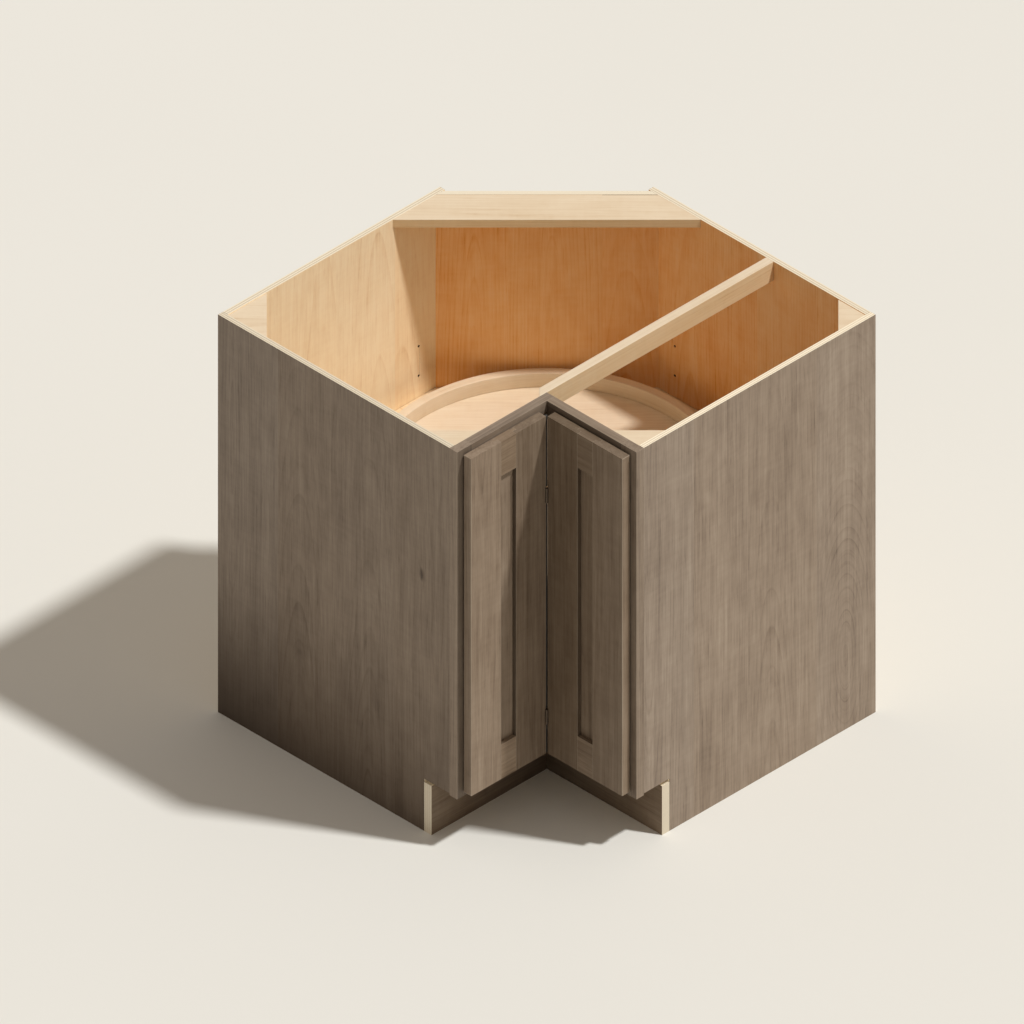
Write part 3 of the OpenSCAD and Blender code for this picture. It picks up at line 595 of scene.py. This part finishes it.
def finish_piece(bm, name, node, materials):
    """Turns a bmesh into the piece that stands for a node and rides on its body."""
    bmesh.ops.recalc_face_normals(bm, faces=bm.faces)
    mesh = bpy.data.meshes.new(name)
    bm.to_mesh(mesh)
    bm.free()
    piece = bpy.data.objects.new(name, mesh)
    bpy.context.scene.collection.objects.link(piece)
    for material in materials:
        mesh.materials.append(material)
    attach(piece, body_of_node[node])
    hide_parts(node)
    return piece


print("pieces to dress:", len(body_of_node))

# %% [markdown]
# ## The plywood panels
#
# Each panel has a show face, a back face and sawn edges. Three materials on one plain mesh
# give that, picked by the way each face looks, and no seams have to be unwrapped. The small
# faces are the walls of the shelf-pin holes; a fourth, near-black finish on them is painted
# shade for the inside of a hole.

# %% A helper for upright panels
HOLE_AREA = 30 * MM * MM             # a panel's smaller faces are the walls of its pin holes
PANEL_ARRIS = 0.35 * MM
FACING = 0.9                         # a face with more than this of a direction looks that way


def panel(node, face_way, across, joints, leaves, show, back, edge=None, show_look=(0, 0)):
    """A plywood panel that stands upright. face_way points out of its show face, and
    show_look is a tone and a warmth for that face alone."""
    def pick(face):
        turn = face.normal.dot(face_way)
        if face.calc_area() < HOLE_AREA:
            return 3
        return 0 if turn > FACING else 1 if turn < -FACING else 2

    def edge_of(face):
        return face_way if pick(face) > 1 else None

    def look_of(face):
        return (0.0, 0.0) if pick(face) else show_look

    return dress(node, Z, across, face_way, leaves, joints, PANEL_ARRIS,
                 (show, back, edge or ply, hole_shade_finish), pick, edge_of, look_of=look_of)


print("panel faces smaller than", round(HOLE_AREA / MM ** 2), "mm2 are holes")

# %% [markdown]
# ## Side panels
#
# The two side panels show beside the last cabinets of each run, so they are stained outside
# and clear inside. Their leaves could be drawn by luck like the others, but these two faces
# fill the picture, so the joints lie where the photograph changes tone, the arches sit where
# it has them, and the left panel carries its small knot near the front edge.

# %% Side panels
def place_arches(leaf, pith, depth, taper):
    leaf.pith, leaf.depth, leaf.taper = pith, depth, taper


left_joints = [-0.266, -0.116, 0.032]
left_leaves = make_leaves("left_side", left_joints, -0.42, 0.17, spread=0.06)
place_arches(left_leaves[1], -0.200, 0.020, 0.075)
place_arches(left_leaves[2], -0.025, 0.006, 0.085)
left_leaves[3].knot = (0.101, 0.562)
# painted shade: the left panel, which faces away from the sun, is darker all over
for leaf in left_leaves:
    leaf.tone -= 0.35
    leaf.warmth -= 0.08

right_joints = [-0.044, 0.094, 0.2685]
right_leaves = make_leaves("right_side", right_joints, -0.17, 0.42, spread=0.06)
place_arches(right_leaves[3], 0.350, -0.059, 0.250)
# the right panel's tones: partly each plank's own tone, partly painted light, since the sunlit
# panel is lighter all over
for leaf, tone in zip(right_leaves, (0.45, 0.57, 0.40, 0.50)):
    leaf.tone += tone
    leaf.warmth -= 0.12

sides = [panel("left_side_panel", -Y, X, left_joints, left_leaves, low_shaded_stain, clear, side_ply),
         panel("right_side_panel", X, Y, right_joints, right_leaves, stained, clear, side_ply)]
print("side panels:", [piece.name for piece in sides])

# %% [markdown]
# ## Wall panels and the diagonal back
#
# These three panels are clear inside and left bare against the room's walls. Their show faces
# carry painted light: the sunlit left wall is paler, and the right wall and the diagonal back,
# which stay out of the sun, are warmer and more orange, painted for the glow of light bounced
# between the varnished panels.

# %% Wall panels and the diagonal back
wall_joints = [-0.29, -0.13, 0.02]
mirror_joints = [-place for place in reversed(wall_joints)]
back_joints = [-0.07, 0.10]
wall_leaves = make_leaves("left_wall", wall_joints, -0.41, 0.15, spread=0.05)
mirror_leaves = make_leaves("right_wall", mirror_joints, -0.15, 0.41, spread=0.05)
back_leaves = make_leaves("diagonal", back_joints, -0.2, 0.2, spread=0.05)
place_arches(back_leaves[0], -0.125, -0.030, 0.060)
place_arches(back_leaves[1], 0.020, -0.045, 0.070)

# show_look here is painted light: paler on the sunlit left wall, warmer and more orange on the
# shaded right wall and diagonal back
walls = [panel("left_wall_panel", X, Y, wall_joints, wall_leaves, clear, pale,
               show_look=(0.5, -0.20)),
         panel("right_wall_panel", -Y, X, mirror_joints, mirror_leaves, clear, pale,
               show_look=(0.25, 0.85)),
         panel("diagonal_back_panel", TO_USER, DIAGONAL, back_joints, back_leaves, clear, pale,
               show_look=(0.35, 0.85))]
print("wall panels:", [piece.name for piece in walls])

# %% [markdown]
# ## The deck and the shelf
#
# They are plywood too, but they lie flat, so the grain runs along X and the sawn edges are
# upright. Only their rims show past the trays, so their leaves are drawn by luck.

# %% Deck and shelf
FLAT_JOINTS = [-0.22, -0.02, 0.17]


def flat_panel(node):
    def pick(face):
        return 0 if abs(face.normal.z) > FACING else 1

    def edge_of(face):
        return Z if pick(face) else None

    leaves = make_leaves(node, FLAT_JOINTS, -0.41, 0.41, spread=0.08)
    return dress(node, X, Y, Z, leaves, FLAT_JOINTS, PANEL_ARRIS, (clear, ply), pick, edge_of)


flats = [flat_panel(node) for node in ("bottom_deck", "carousel_shelf")]
print("flat panels:", [piece.name for piece in flats])

# %% [markdown]
# ## Solid members
#
# The face frame, the door frames, the braces and the posts are single boards. Their pith
# lies outside the board, so their faces show nearly straight lines with a slight curve. A
# glued joint between two such boards shows as a fine groove. It could be cut, but the rounded
# arrises of the two boards give it by themselves.

# %% A helper for solid boards
def member(node, along, across, wood, tone=None, warmth=None, arris=0.3 * MM, pick=None,
           extra=(), edge_of=None, outline=None, look_of=None, fade=None):
    """One solid board. Where outline is given, the edges on that box are rounded more."""
    luck = own_luck(node)
    low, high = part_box(node)
    middle = (low + high) / 2
    leaf = Leaf(pith=middle.dot(across) + luck.uniform(-0.05, 0.05),
                depth=luck.uniform(0.03, 0.08),
                taper=luck.uniform(-0.015, 0.015),
                tone=luck.uniform(-0.12, 0.12) if tone is None else tone,
                warmth=luck.uniform(-0.1, 0.1) if warmth is None else warmth,
                slide=luck.uniform(2, 40))
    return dress(node, along, across, along.cross(across), [leaf], (), arris, (wood, *extra),
                 pick, edge_of, outline=outline, wide=1.0 * MM, look_of=look_of, fade=fade)


def shaded(out_way, tone):
    """The look of front faces that the doors cover and shade: a darker tone, painted shade."""
    def look_of(face):
        return (tone if face.normal.dot(out_way) > FACING else 0.0), 0.0

    return look_of


print("boards outside the panels:", sum("rail" in node or "stile" in node
                                        for node in body_of_node), "rails and stiles")

# %% [markdown]
# ## The face frame
#
# Two outer stiles, two top rails and two bottom rails make the frame that the doors close
# against. The front faces that the doors shade are darker, painted shade, which one tone does
# without a second material.

# %% Face frame
frame_pieces = []
# painted shade: darker fronts on the stiles and right rails where the doors shade them
for side, way, out_way, stile_shade_tone in (("left", Y, X, -1.3), ("right", X, -Y, -0.8)):
    frame_pieces.append(member(side + "_outer_stile", Z, way, stained,
                               look_of=shaded(out_way, stile_shade_tone)))
    for rail in ("_top_rail", "_bottom_rail"):
        frame_pieces.append(member(side + rail, way, Z, stained, look_of=shaded(-Y, -1.6)))
print("face frame:", [piece.name for piece in frame_pieces])

# %% [markdown]
# ## The doors
#
# Each leaf of the door is a frame of two stiles and two rails round a sunk panel. The sides of
# the opening are darker, painted shade for the shade in the recess; the right leaf, which faces
# away from the sun, and the two corner stiles are darker too, painted shade as well. A texture
# could hold that, but every member is a board of its own here, so a tone and a warmth for each
# board, and one more for the faces that line the opening, are enough.

# %% Door frames and panels
DOOR_TONE_AND_SHADE = {                        # each member's own tone and warmth, with painted shade on the right leaf and the corner stiles
    "left_door_hinge_stile": (0.40, 0.10), "left_door_corner_stile": (-0.75, 0.25),
    "left_door_top_rail": (-0.05, 0.35), "left_door_bottom_rail": (0.20, 0.30),
    "left_door_panel": (0.15, 0.10), "right_door_free_stile": (-0.90, 0.25),
    "right_door_corner_stile": (-1.40, 0.45), "right_door_top_rail": (-1.05, 0.35),
    "right_door_bottom_rail": (-0.80, 0.30), "right_door_panel": (-1.05, 0.35),
}
OPENING_SHADE = {"left": -1.3, "right": -0.55}     # painted shade: how much darker the opening's sides are
# painted shade on the left leaf's hinge side, painted light on the right leaf's sunlit free side
OUTER_SIDE_PAINTED_LIGHT = {"left_door_hinge_stile": (-Y, -0.45), "right_door_free_stile": (X, 0.75)}
INSIDE = 5 * MM                      # a face this far inside the door lines its opening


def shared_box(nodes):
    """The lowest and highest corner of several nodes together."""
    boxes = [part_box(node) for node in nodes]
    return (Vector([min(low[i] for low, high in boxes) for i in range(3)]),
            Vector([max(high[i] for low, high in boxes) for i in range(3)]))


def opening_shade_look(outline, out_way, opening_shade_tone, outer_way, outer_painted_light):
    """The look of the faces that line a door's opening, darker as painted shade, and of the
    door's outer side, darker on the left leaf as painted shade and lighter on the right leaf as
    painted light."""
    low, high = outline
    in_plane = [i for i in range(3) if abs(out_way[i]) < 0.5]

    def look_of(face):
        if abs(face.normal.dot(out_way)) > 0.3:
            return 0.0, 0.0
        if face.normal.dot(outer_way) > FACING:
            return outer_painted_light, 0.0
        spot = face.calc_center_median()
        inside = all(low[i] + INSIDE < spot[i] < high[i] - INSIDE for i in in_plane)
        return (opening_shade_tone if inside else 0.0), 0.0

    return look_of


for node, (tone, warmth) in DOOR_TONE_AND_SHADE.items():
    hand, way, out_way = ("left", Y, X) if node.startswith("left") else ("right", X, -Y)
    outline = shared_box([other for other in DOOR_TONE_AND_SHADE if other.startswith(hand)])
    directions = (way, Z) if "rail" in node else (Z, way)
    outer_way, outer_painted_light = OUTER_SIDE_PAINTED_LIGHT.get(node, (Z, 0.0))
    look_of = opening_shade_look(outline, out_way, OPENING_SHADE[hand], outer_way, outer_painted_light)
    member(node, *directions, stained, tone, warmth, outline=outline, look_of=look_of)
print("door members:", len(DOOR_TONE_AND_SHADE))

# %% [markdown]
# ## Braces, blocks and posts
#
# What the worktop hides is left pale and unstained, and the supports under the deck are
# clear. Sunlight and bounced light from the varnished walls meet on the braces, so their
# sides look warmer than their tops. A tone for each side gives that without another lamp.

# %% Top bracing and supports
BRACE_ARRIS = 0.8 * MM


def painted_bounce_sides(face):
    """Painted bounce light: the sides of a brace are a little warmer than its top."""
    return (0.0, 0.0) if face.normal.z > 0.5 else (0.15, 0.65)


supports = [
    member("rear_top_brace", DIAGONAL, TO_USER, pale, 0.02, arris=BRACE_ARRIS,
           look_of=painted_bounce_sides),
    member("top_stretcher", Y, X, pale, 0.03, arris=BRACE_ARRIS, look_of=painted_bounce_sides),
    member("corner_blocks", DIAGONAL, TO_USER, pale, 0.06, arris=0.5 * MM),
    member("deck_posts", Z, X, clear),
    member("deck_cleats", X, Y, clear)]
print("supports:", [piece.name for piece in supports])

# %% [markdown]
# ## Toe boards
#
# The toe boards are stained like the frame, but their ends are sawn after staining, so they
# show the pale core of the board. Their faces are darker all over and darkest towards the
# inner corner, painted shade for the recess under the panels. A tone that changes from one
# end of a face to the other draws that on a single long face, with no texture.

# %% Toe boards
TOE_SHADE_OUTER, TOE_SHADE_INNER = -0.8, -2.3    # painted shade: the tone at a toe board's outer end and in the corner


def toe_board(node, along, end_way):
    """A stained board whose outer end and top are raw. Its face is darkened towards the corner by
    painted shade.
    """
    low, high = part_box(node)
    length = (high - low).dot(along)
    outer = max(low.dot(end_way), high.dot(end_way))

    def pick(face):
        return 1 if face.normal.dot(end_way) > FACING or face.normal.z > FACING else 0

    def edge_of(face):
        return along.cross(Z) if pick(face) else None

    def look_of(face):
        return (0.4, 0.0) if pick(face) else (0.0, 0.4)

    def fade(point):
        inward = (outer - point.dot(end_way)) / length
        return TOE_SHADE_OUTER + inward * (TOE_SHADE_INNER - TOE_SHADE_OUTER)

    return member(node, along, Z, stained, 0.0, 0.0, pick=pick, extra=(raw_ply,),
                  edge_of=edge_of, look_of=look_of, fade=fade)


toe_boards = [toe_board("left_toe_board", Y, -Y), toe_board("right_toe_board", X, X)]
print("toe boards:", [piece.name for piece in toe_boards])

# %% [markdown]
# ## The trays
#
# A carousel tray is a round board with a bent rim glued on top. A bevelled copy of the solid
# would show its flats, so a profile is turned round the axis instead, as on a lathe, which
# gives truly round edges.

# %% Turn a profile round the tray's axis
TURN_STEPS = 288                     # faces round a tray


def turned(profile, centre):
    """A ring or disc from a closed (radius, height) outline; a zero radius closes it."""
    bm = bmesh.new()
    rings = []
    for radius, height in profile:
        if radius == 0:
            rings.append([bm.verts.new((centre.x, centre.y, height))])
            continue
        turn = [2 * math.pi * i / TURN_STEPS for i in range(TURN_STEPS)]
        rings.append([bm.verts.new((centre.x + radius * math.cos(t),
                                    centre.y + radius * math.sin(t), height)) for t in turn])
    for inner, outer in zip(rings, rings[1:] + rings[:1]):
        for i in range(TURN_STEPS):
            corners = [inner[i % len(inner)], inner[(i + 1) % len(inner)],
                       outer[(i + 1) % len(outer)], outer[i % len(outer)]]
            corners = list(dict.fromkeys(corners))
            if len(corners) > 2:
                bm.faces.new(corners)
    return bm


def rounded_outline(r0, r1, z0, z1, radius, steps=4):
    """A rectangle in (radius, height) with quarter-round corners; r0 = 0 keeps a flat middle."""
    outline = []
    corners = [(r1, z0, -90), (r1, z1, 0), (r0, z1, 90), (r0, z0, 180)]
    for r, z, start in corners:
        if r0 == 0 and r == 0:
            outline.append((0, z))
            continue
        cr = r - radius if r == r1 else r + radius
        cz = z - radius if z == z1 else z + radius
        for i in range(steps + 1):
            t = math.radians(start + 90 * i / steps)
            outline.append((cr + radius * math.cos(t), cz + radius * math.sin(t)))
    return outline


print("a tray has", TURN_STEPS, "faces round it")

# %% [markdown]
# ## Grain that follows the circle
#
# The rim is bent from one long strip, so its grain follows the circle: its along coordinate
# is the length of arc. The board is glued up from planks, so its grain runs straight across.
# The same maple dresses both, because only the attributes differ.

# %% Tray boards and rims
BOARD_ROUND, RIM_ROUND = 1.2 * MM, 1.6 * MM
PLANK = 0.105                        # how wide the planks of a tray board are
RIM_TONE = 0.04


def tray_board(node):
    low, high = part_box(node)
    centre, radius = (low + high) / 2, (high.x - low.x) / 2
    bm = turned(rounded_outline(0, radius, low.z, high.z, BOARD_ROUND, 3), centre)
    middle = centre.dot(TO_USER)
    joints = [middle + PLANK * k for k in (-2.5, -1.5, -0.5, 0.5, 1.5, 2.5)]
    leaves = make_leaves(node, joints, middle - radius, middle + radius, spread=0.10)
    return dress(node, DIAGONAL, TO_USER, Z, leaves, joints, 0, (pale,), bm=bm)


def inner_radius(node, centre):
    """The smallest distance of the solid's points from the axis."""
    points = frame["nodes"][node].data.vertices
    return min(math.hypot(p.co.x - centre.x, p.co.y - centre.y) for p in points)


def tray_rim(node):
    low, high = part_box(node)
    centre, radius = (low + high) / 2, (high.x - low.x) / 2
    inner = inner_radius(node, centre)
    bm = turned(rounded_outline(inner, radius, low.z, high.z, RIM_ROUND), centre)
    grain, pith, board, knot = attribute_layers(bm)
    for face in bm.faces:
        middle = face.calc_center_median() - centre
        start = math.atan2(middle.y, middle.x)
        for loop in face.loops:
            arm = loop.vert.co - centre
            turn = math.remainder(math.atan2(arm.y, arm.x) - start, 2 * math.pi) + start
            out = math.hypot(arm.x, arm.y) - radius
            up = loop.vert.co.z - low.z
            loop[grain] = Vector((up, out, turn * radius + 7.0))
            loop[pith] = Vector((up + 0.03, out + 0.05, 0))
            loop[board] = Vector((RIM_TONE, 0.0, 0.0))
            loop[knot] = FAR
        face.smooth = True
    return finish_piece(bm, node + "_finished", node, (pale,))


for level in ("lower", "upper"):
    made = tray_board(level + "_tray_board"), tray_rim(level + "_tray_rim")
    print("tray:", [piece.name for piece in made])

# %% [markdown]
# ## The fittings keep their own shape
#
# Hinges, screws, pins and bearings are already exact in the frame. They could be modelled
# again, but they stay as they are and only get a finish. The small hinges that fold the door
# are bronzed, so that they don't glint in the gap.

# %% Finish the fittings
FINISH = {"steel": zinc, "bright_steel": nickel, "rubber": rubber, "catch_plastic": plastic}
for node, solid in frame["nodes"].items():
    if solid.hide_render:
        continue
    solid.data.materials.clear()
    folding = node.startswith("fold_hinge")
    solid.data.materials.append(bronzed if folding else FINISH[slot_of_node[node]])
print("fittings:", sum(not s.hide_render for s in frame["nodes"].values()))

# %% [markdown]
# ## The dust and shade strip in the corner gap
#
# Where the two leaves of the door meet there is a gap of 1.6 millimetres, and it looks dark
# from the front. A near-black rubber strip with a D-shaped section fills it, so the gap does
# not show the sunlit trays: the strip stands in for the shade in the gap, painted shade in
# part. Like a real dust strip it is glued to the end of the left leaf, it keeps dust off the
# trays, and the right leaf folds away from it. It is thin trim, so it is made here and not in
# the frame. Its outline is drawn once and pulled up through each stretch between the hinges,
# which a curve with a bevel would do too, though with less say over its two ends.

# %% Dust strip
STRIP_BACK, STRIP_FRONT = 0.2065, 0.2115      # where its sides are, along X
STRIP_DEEP = 6.1 * MM                         # how far its nose stands out
HINGE_HEIGHTS = (0.204, 0.692)
CLEAR_OF_HINGE = 16.3 * MM                    # from a hinge's middle
NOSE_STEPS = 8                                # flats round the nose
CLEAR_OF_END = 1.5 * MM                       # from the top and bottom of the door


def strip_outline(foot):
    """The D-shaped section in plan, from the door's end face to the nose and back."""
    radius = (STRIP_FRONT - STRIP_BACK) / 2
    middle = (STRIP_FRONT + STRIP_BACK) / 2
    turn = [math.pi * i / NOSE_STEPS for i in range(NOSE_STEPS + 1)]
    nose = [(middle + radius * math.cos(t), foot + STRIP_DEEP - radius + radius * math.sin(t))
            for t in turn]
    return [(STRIP_FRONT, foot), *nose, (STRIP_BACK, foot)]


def dust_and_shade_strip():
    low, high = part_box("left_door_corner_stile")
    ends = [low.z + CLEAR_OF_END]
    for height in HINGE_HEIGHTS:
        ends += [height - CLEAR_OF_HINGE, height + CLEAR_OF_HINGE]
    ends.append(high.z - CLEAR_OF_END)
    outline = strip_outline(high.y)
    bm = bmesh.new()
    for start, stop in zip(ends[::2], ends[1::2]):
        foot = [bm.verts.new((x, y, start)) for x, y in outline]
        top = [bm.verts.new((x, y, stop)) for x, y in outline]
        bm.faces.new(foot)
        bm.faces.new(top)
        for i in range(len(outline)):
            bm.faces.new((foot[i - 1], foot[i], top[i], top[i - 1]))
    bmesh.ops.recalc_face_normals(bm, faces=bm.faces)
    mesh = bpy.data.meshes.new("corner_dust_and_shade_strip")
    bm.to_mesh(mesh)
    bm.free()
    # near-black rubber that stands in for the shade in the gap
    mesh.materials.append(rubber)
    strip = bpy.data.objects.new("corner_dust_and_shade_strip", mesh)
    bpy.context.scene.collection.objects.link(strip)
    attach(strip, "left_door")
    return strip


print(dust_and_shade_strip().name, "stands", round(STRIP_DEEP / MM, 1), "mm out of the left leaf")

# %% [markdown]
# ## The floor
#
# The photograph is a studio picture on a pale floor that runs out of the picture. A curved
# backdrop would do as well, but a flat floor gives the shadow its true shape. Its colour
# hardly changes from place to place, as on painted boards.

# %% Floor
FLOOR_HALF = 30.0

floor_recipe = Recipe("pale_floor")
floor_place = floor_recipe.place()
floor_cloud = floor_recipe.noise(floor_place, (0.7,) * 3)
floor_skin = floor_recipe.noise(floor_place, (160,) * 3)
floor_tint = floor_recipe.ramp(floor_cloud, [(0.3, (0.806, 0.798, 0.752)),
                                             (0.7, (0.820, 0.812, 0.768))])
floor_finish = floor_recipe.surface(height=floor_skin, depth=0.05 * MM, strength=0.2,
                                    base_color=floor_tint, roughness=0.9,
                                    specular_ior_level=0.1)
floor_corners = [(x * FLOOR_HALF, y * FLOOR_HALF, 0)
                 for x, y in ((-1, -1), (1, -1), (1, 1), (-1, 1))]
floor_mesh = bpy.data.meshes.new("studio_floor")
floor_mesh.from_pydata(floor_corners, [], [(0, 1, 2, 3)])
floor_mesh.materials.append(floor_finish)
floor = bpy.data.objects.new("studio_floor", floor_mesh)
bpy.context.scene.collection.objects.link(floor)
print("floor is", 2 * FLOOR_HALF, "m wide")

# %% [markdown]
# ## Sun and surround
#
# One sun-like lamp stands to the upper right. Its direction was read from the cabinet's
# shadow on the floor, and its angle sets how soft that shadow is. A sky picture could light
# the rest, but the studio round the cabinet is plain, so one warm, weak colour does. Rays
# from the camera, from gloss and through glass see a second, pale colour there, so that the
# picture stays pale at every height.

# %% Sun
SUN_WAY = Vector((-0.508, -0.30, -1.0))
sun = bpy.data.lights.new("key_light", "SUN")
sun.energy = 2.46
sun.angle = math.radians(3.6)
sun.color = (1.0, 0.995, 0.98)
sun_object = bpy.data.objects.new("key_light", sun)
sun_object.rotation_euler = SUN_WAY.to_track_quat("-Z", "Y").to_euler()
bpy.context.scene.collection.objects.link(sun_object)
sun_height = math.degrees(math.asin(-SUN_WAY.normalized().z))
print("sun stands", round(sun_height), "degrees high")

# %% Surround
LIGHT_COLOUR, LIGHT_STRENGTH = (1.0, 0.89, 0.78, 1), 0.35
SEEN_COLOUR = (0.84, 0.80, 0.74, 1)

world = bpy.data.worlds.new("surround")
world.use_nodes = True
bpy.context.scene.world = world
nodes, links = world.node_tree.nodes, world.node_tree.links
nodes.clear()


def backdrop(colour, strength):
    node = nodes.new("ShaderNodeBackground")
    node.inputs["Color"].default_value = colour
    node.inputs["Strength"].default_value = strength
    return node.outputs[0]


path = nodes.new("ShaderNodeLightPath")
seen = path.outputs["Is Camera Ray"]
for ray in ("Is Glossy Ray", "Is Transmission Ray"):
    either = nodes.new("ShaderNodeMath")
    either.operation = "MAXIMUM"
    links.new(seen, either.inputs[0])
    links.new(path.outputs[ray], either.inputs[1])
    seen = either.outputs[0]
mix = nodes.new("ShaderNodeMixShader")
links.new(seen, mix.inputs[0])
links.new(backdrop(LIGHT_COLOUR, LIGHT_STRENGTH), mix.inputs[1])
links.new(backdrop(SEEN_COLOUR, 1.0), mix.inputs[2])
world_output = nodes.new("ShaderNodeOutputWorld")
links.new(mix.outputs[0], world_output.inputs["Surface"])
bpy.context.scene.view_settings.view_transform = "Standard"
print("surround has strength", LIGHT_STRENGTH)

# %% [markdown]
# ## The camera
#
# Parallel lines stay parallel in the photograph, so the camera is orthographic; a long lens
# from far away would look nearly the same. It looks along the diagonal of the plan, and
# about 35 degrees down.

# %% Camera
LOOK_DOWN = math.radians(35.2)
AIM = Vector((-0.0443, -0.0443, 0.441))
VIEW_WIDTH = 1.845
CAMERA_DISTANCE = 6.0
camera = bpy.data.cameras.new("camera")
camera.type = "ORTHO"
camera.ortho_scale = VIEW_WIDTH
camera.clip_end = 100
camera_object = bpy.data.objects.new("camera", camera)
back = TO_USER * math.cos(LOOK_DOWN) + Z * math.sin(LOOK_DOWN)
camera_object.location = AIM + back * CAMERA_DISTANCE
camera_object.rotation_euler = (-back).to_track_quat("-Z", "Y").to_euler()
bpy.context.scene.collection.objects.link(camera_object)
bpy.context.scene.camera = camera_object
print("camera at", [round(v, 3) for v in camera_object.location])

# %% [markdown]
# ## Sizes
#
# The finished pieces must fill the same box as the frame.
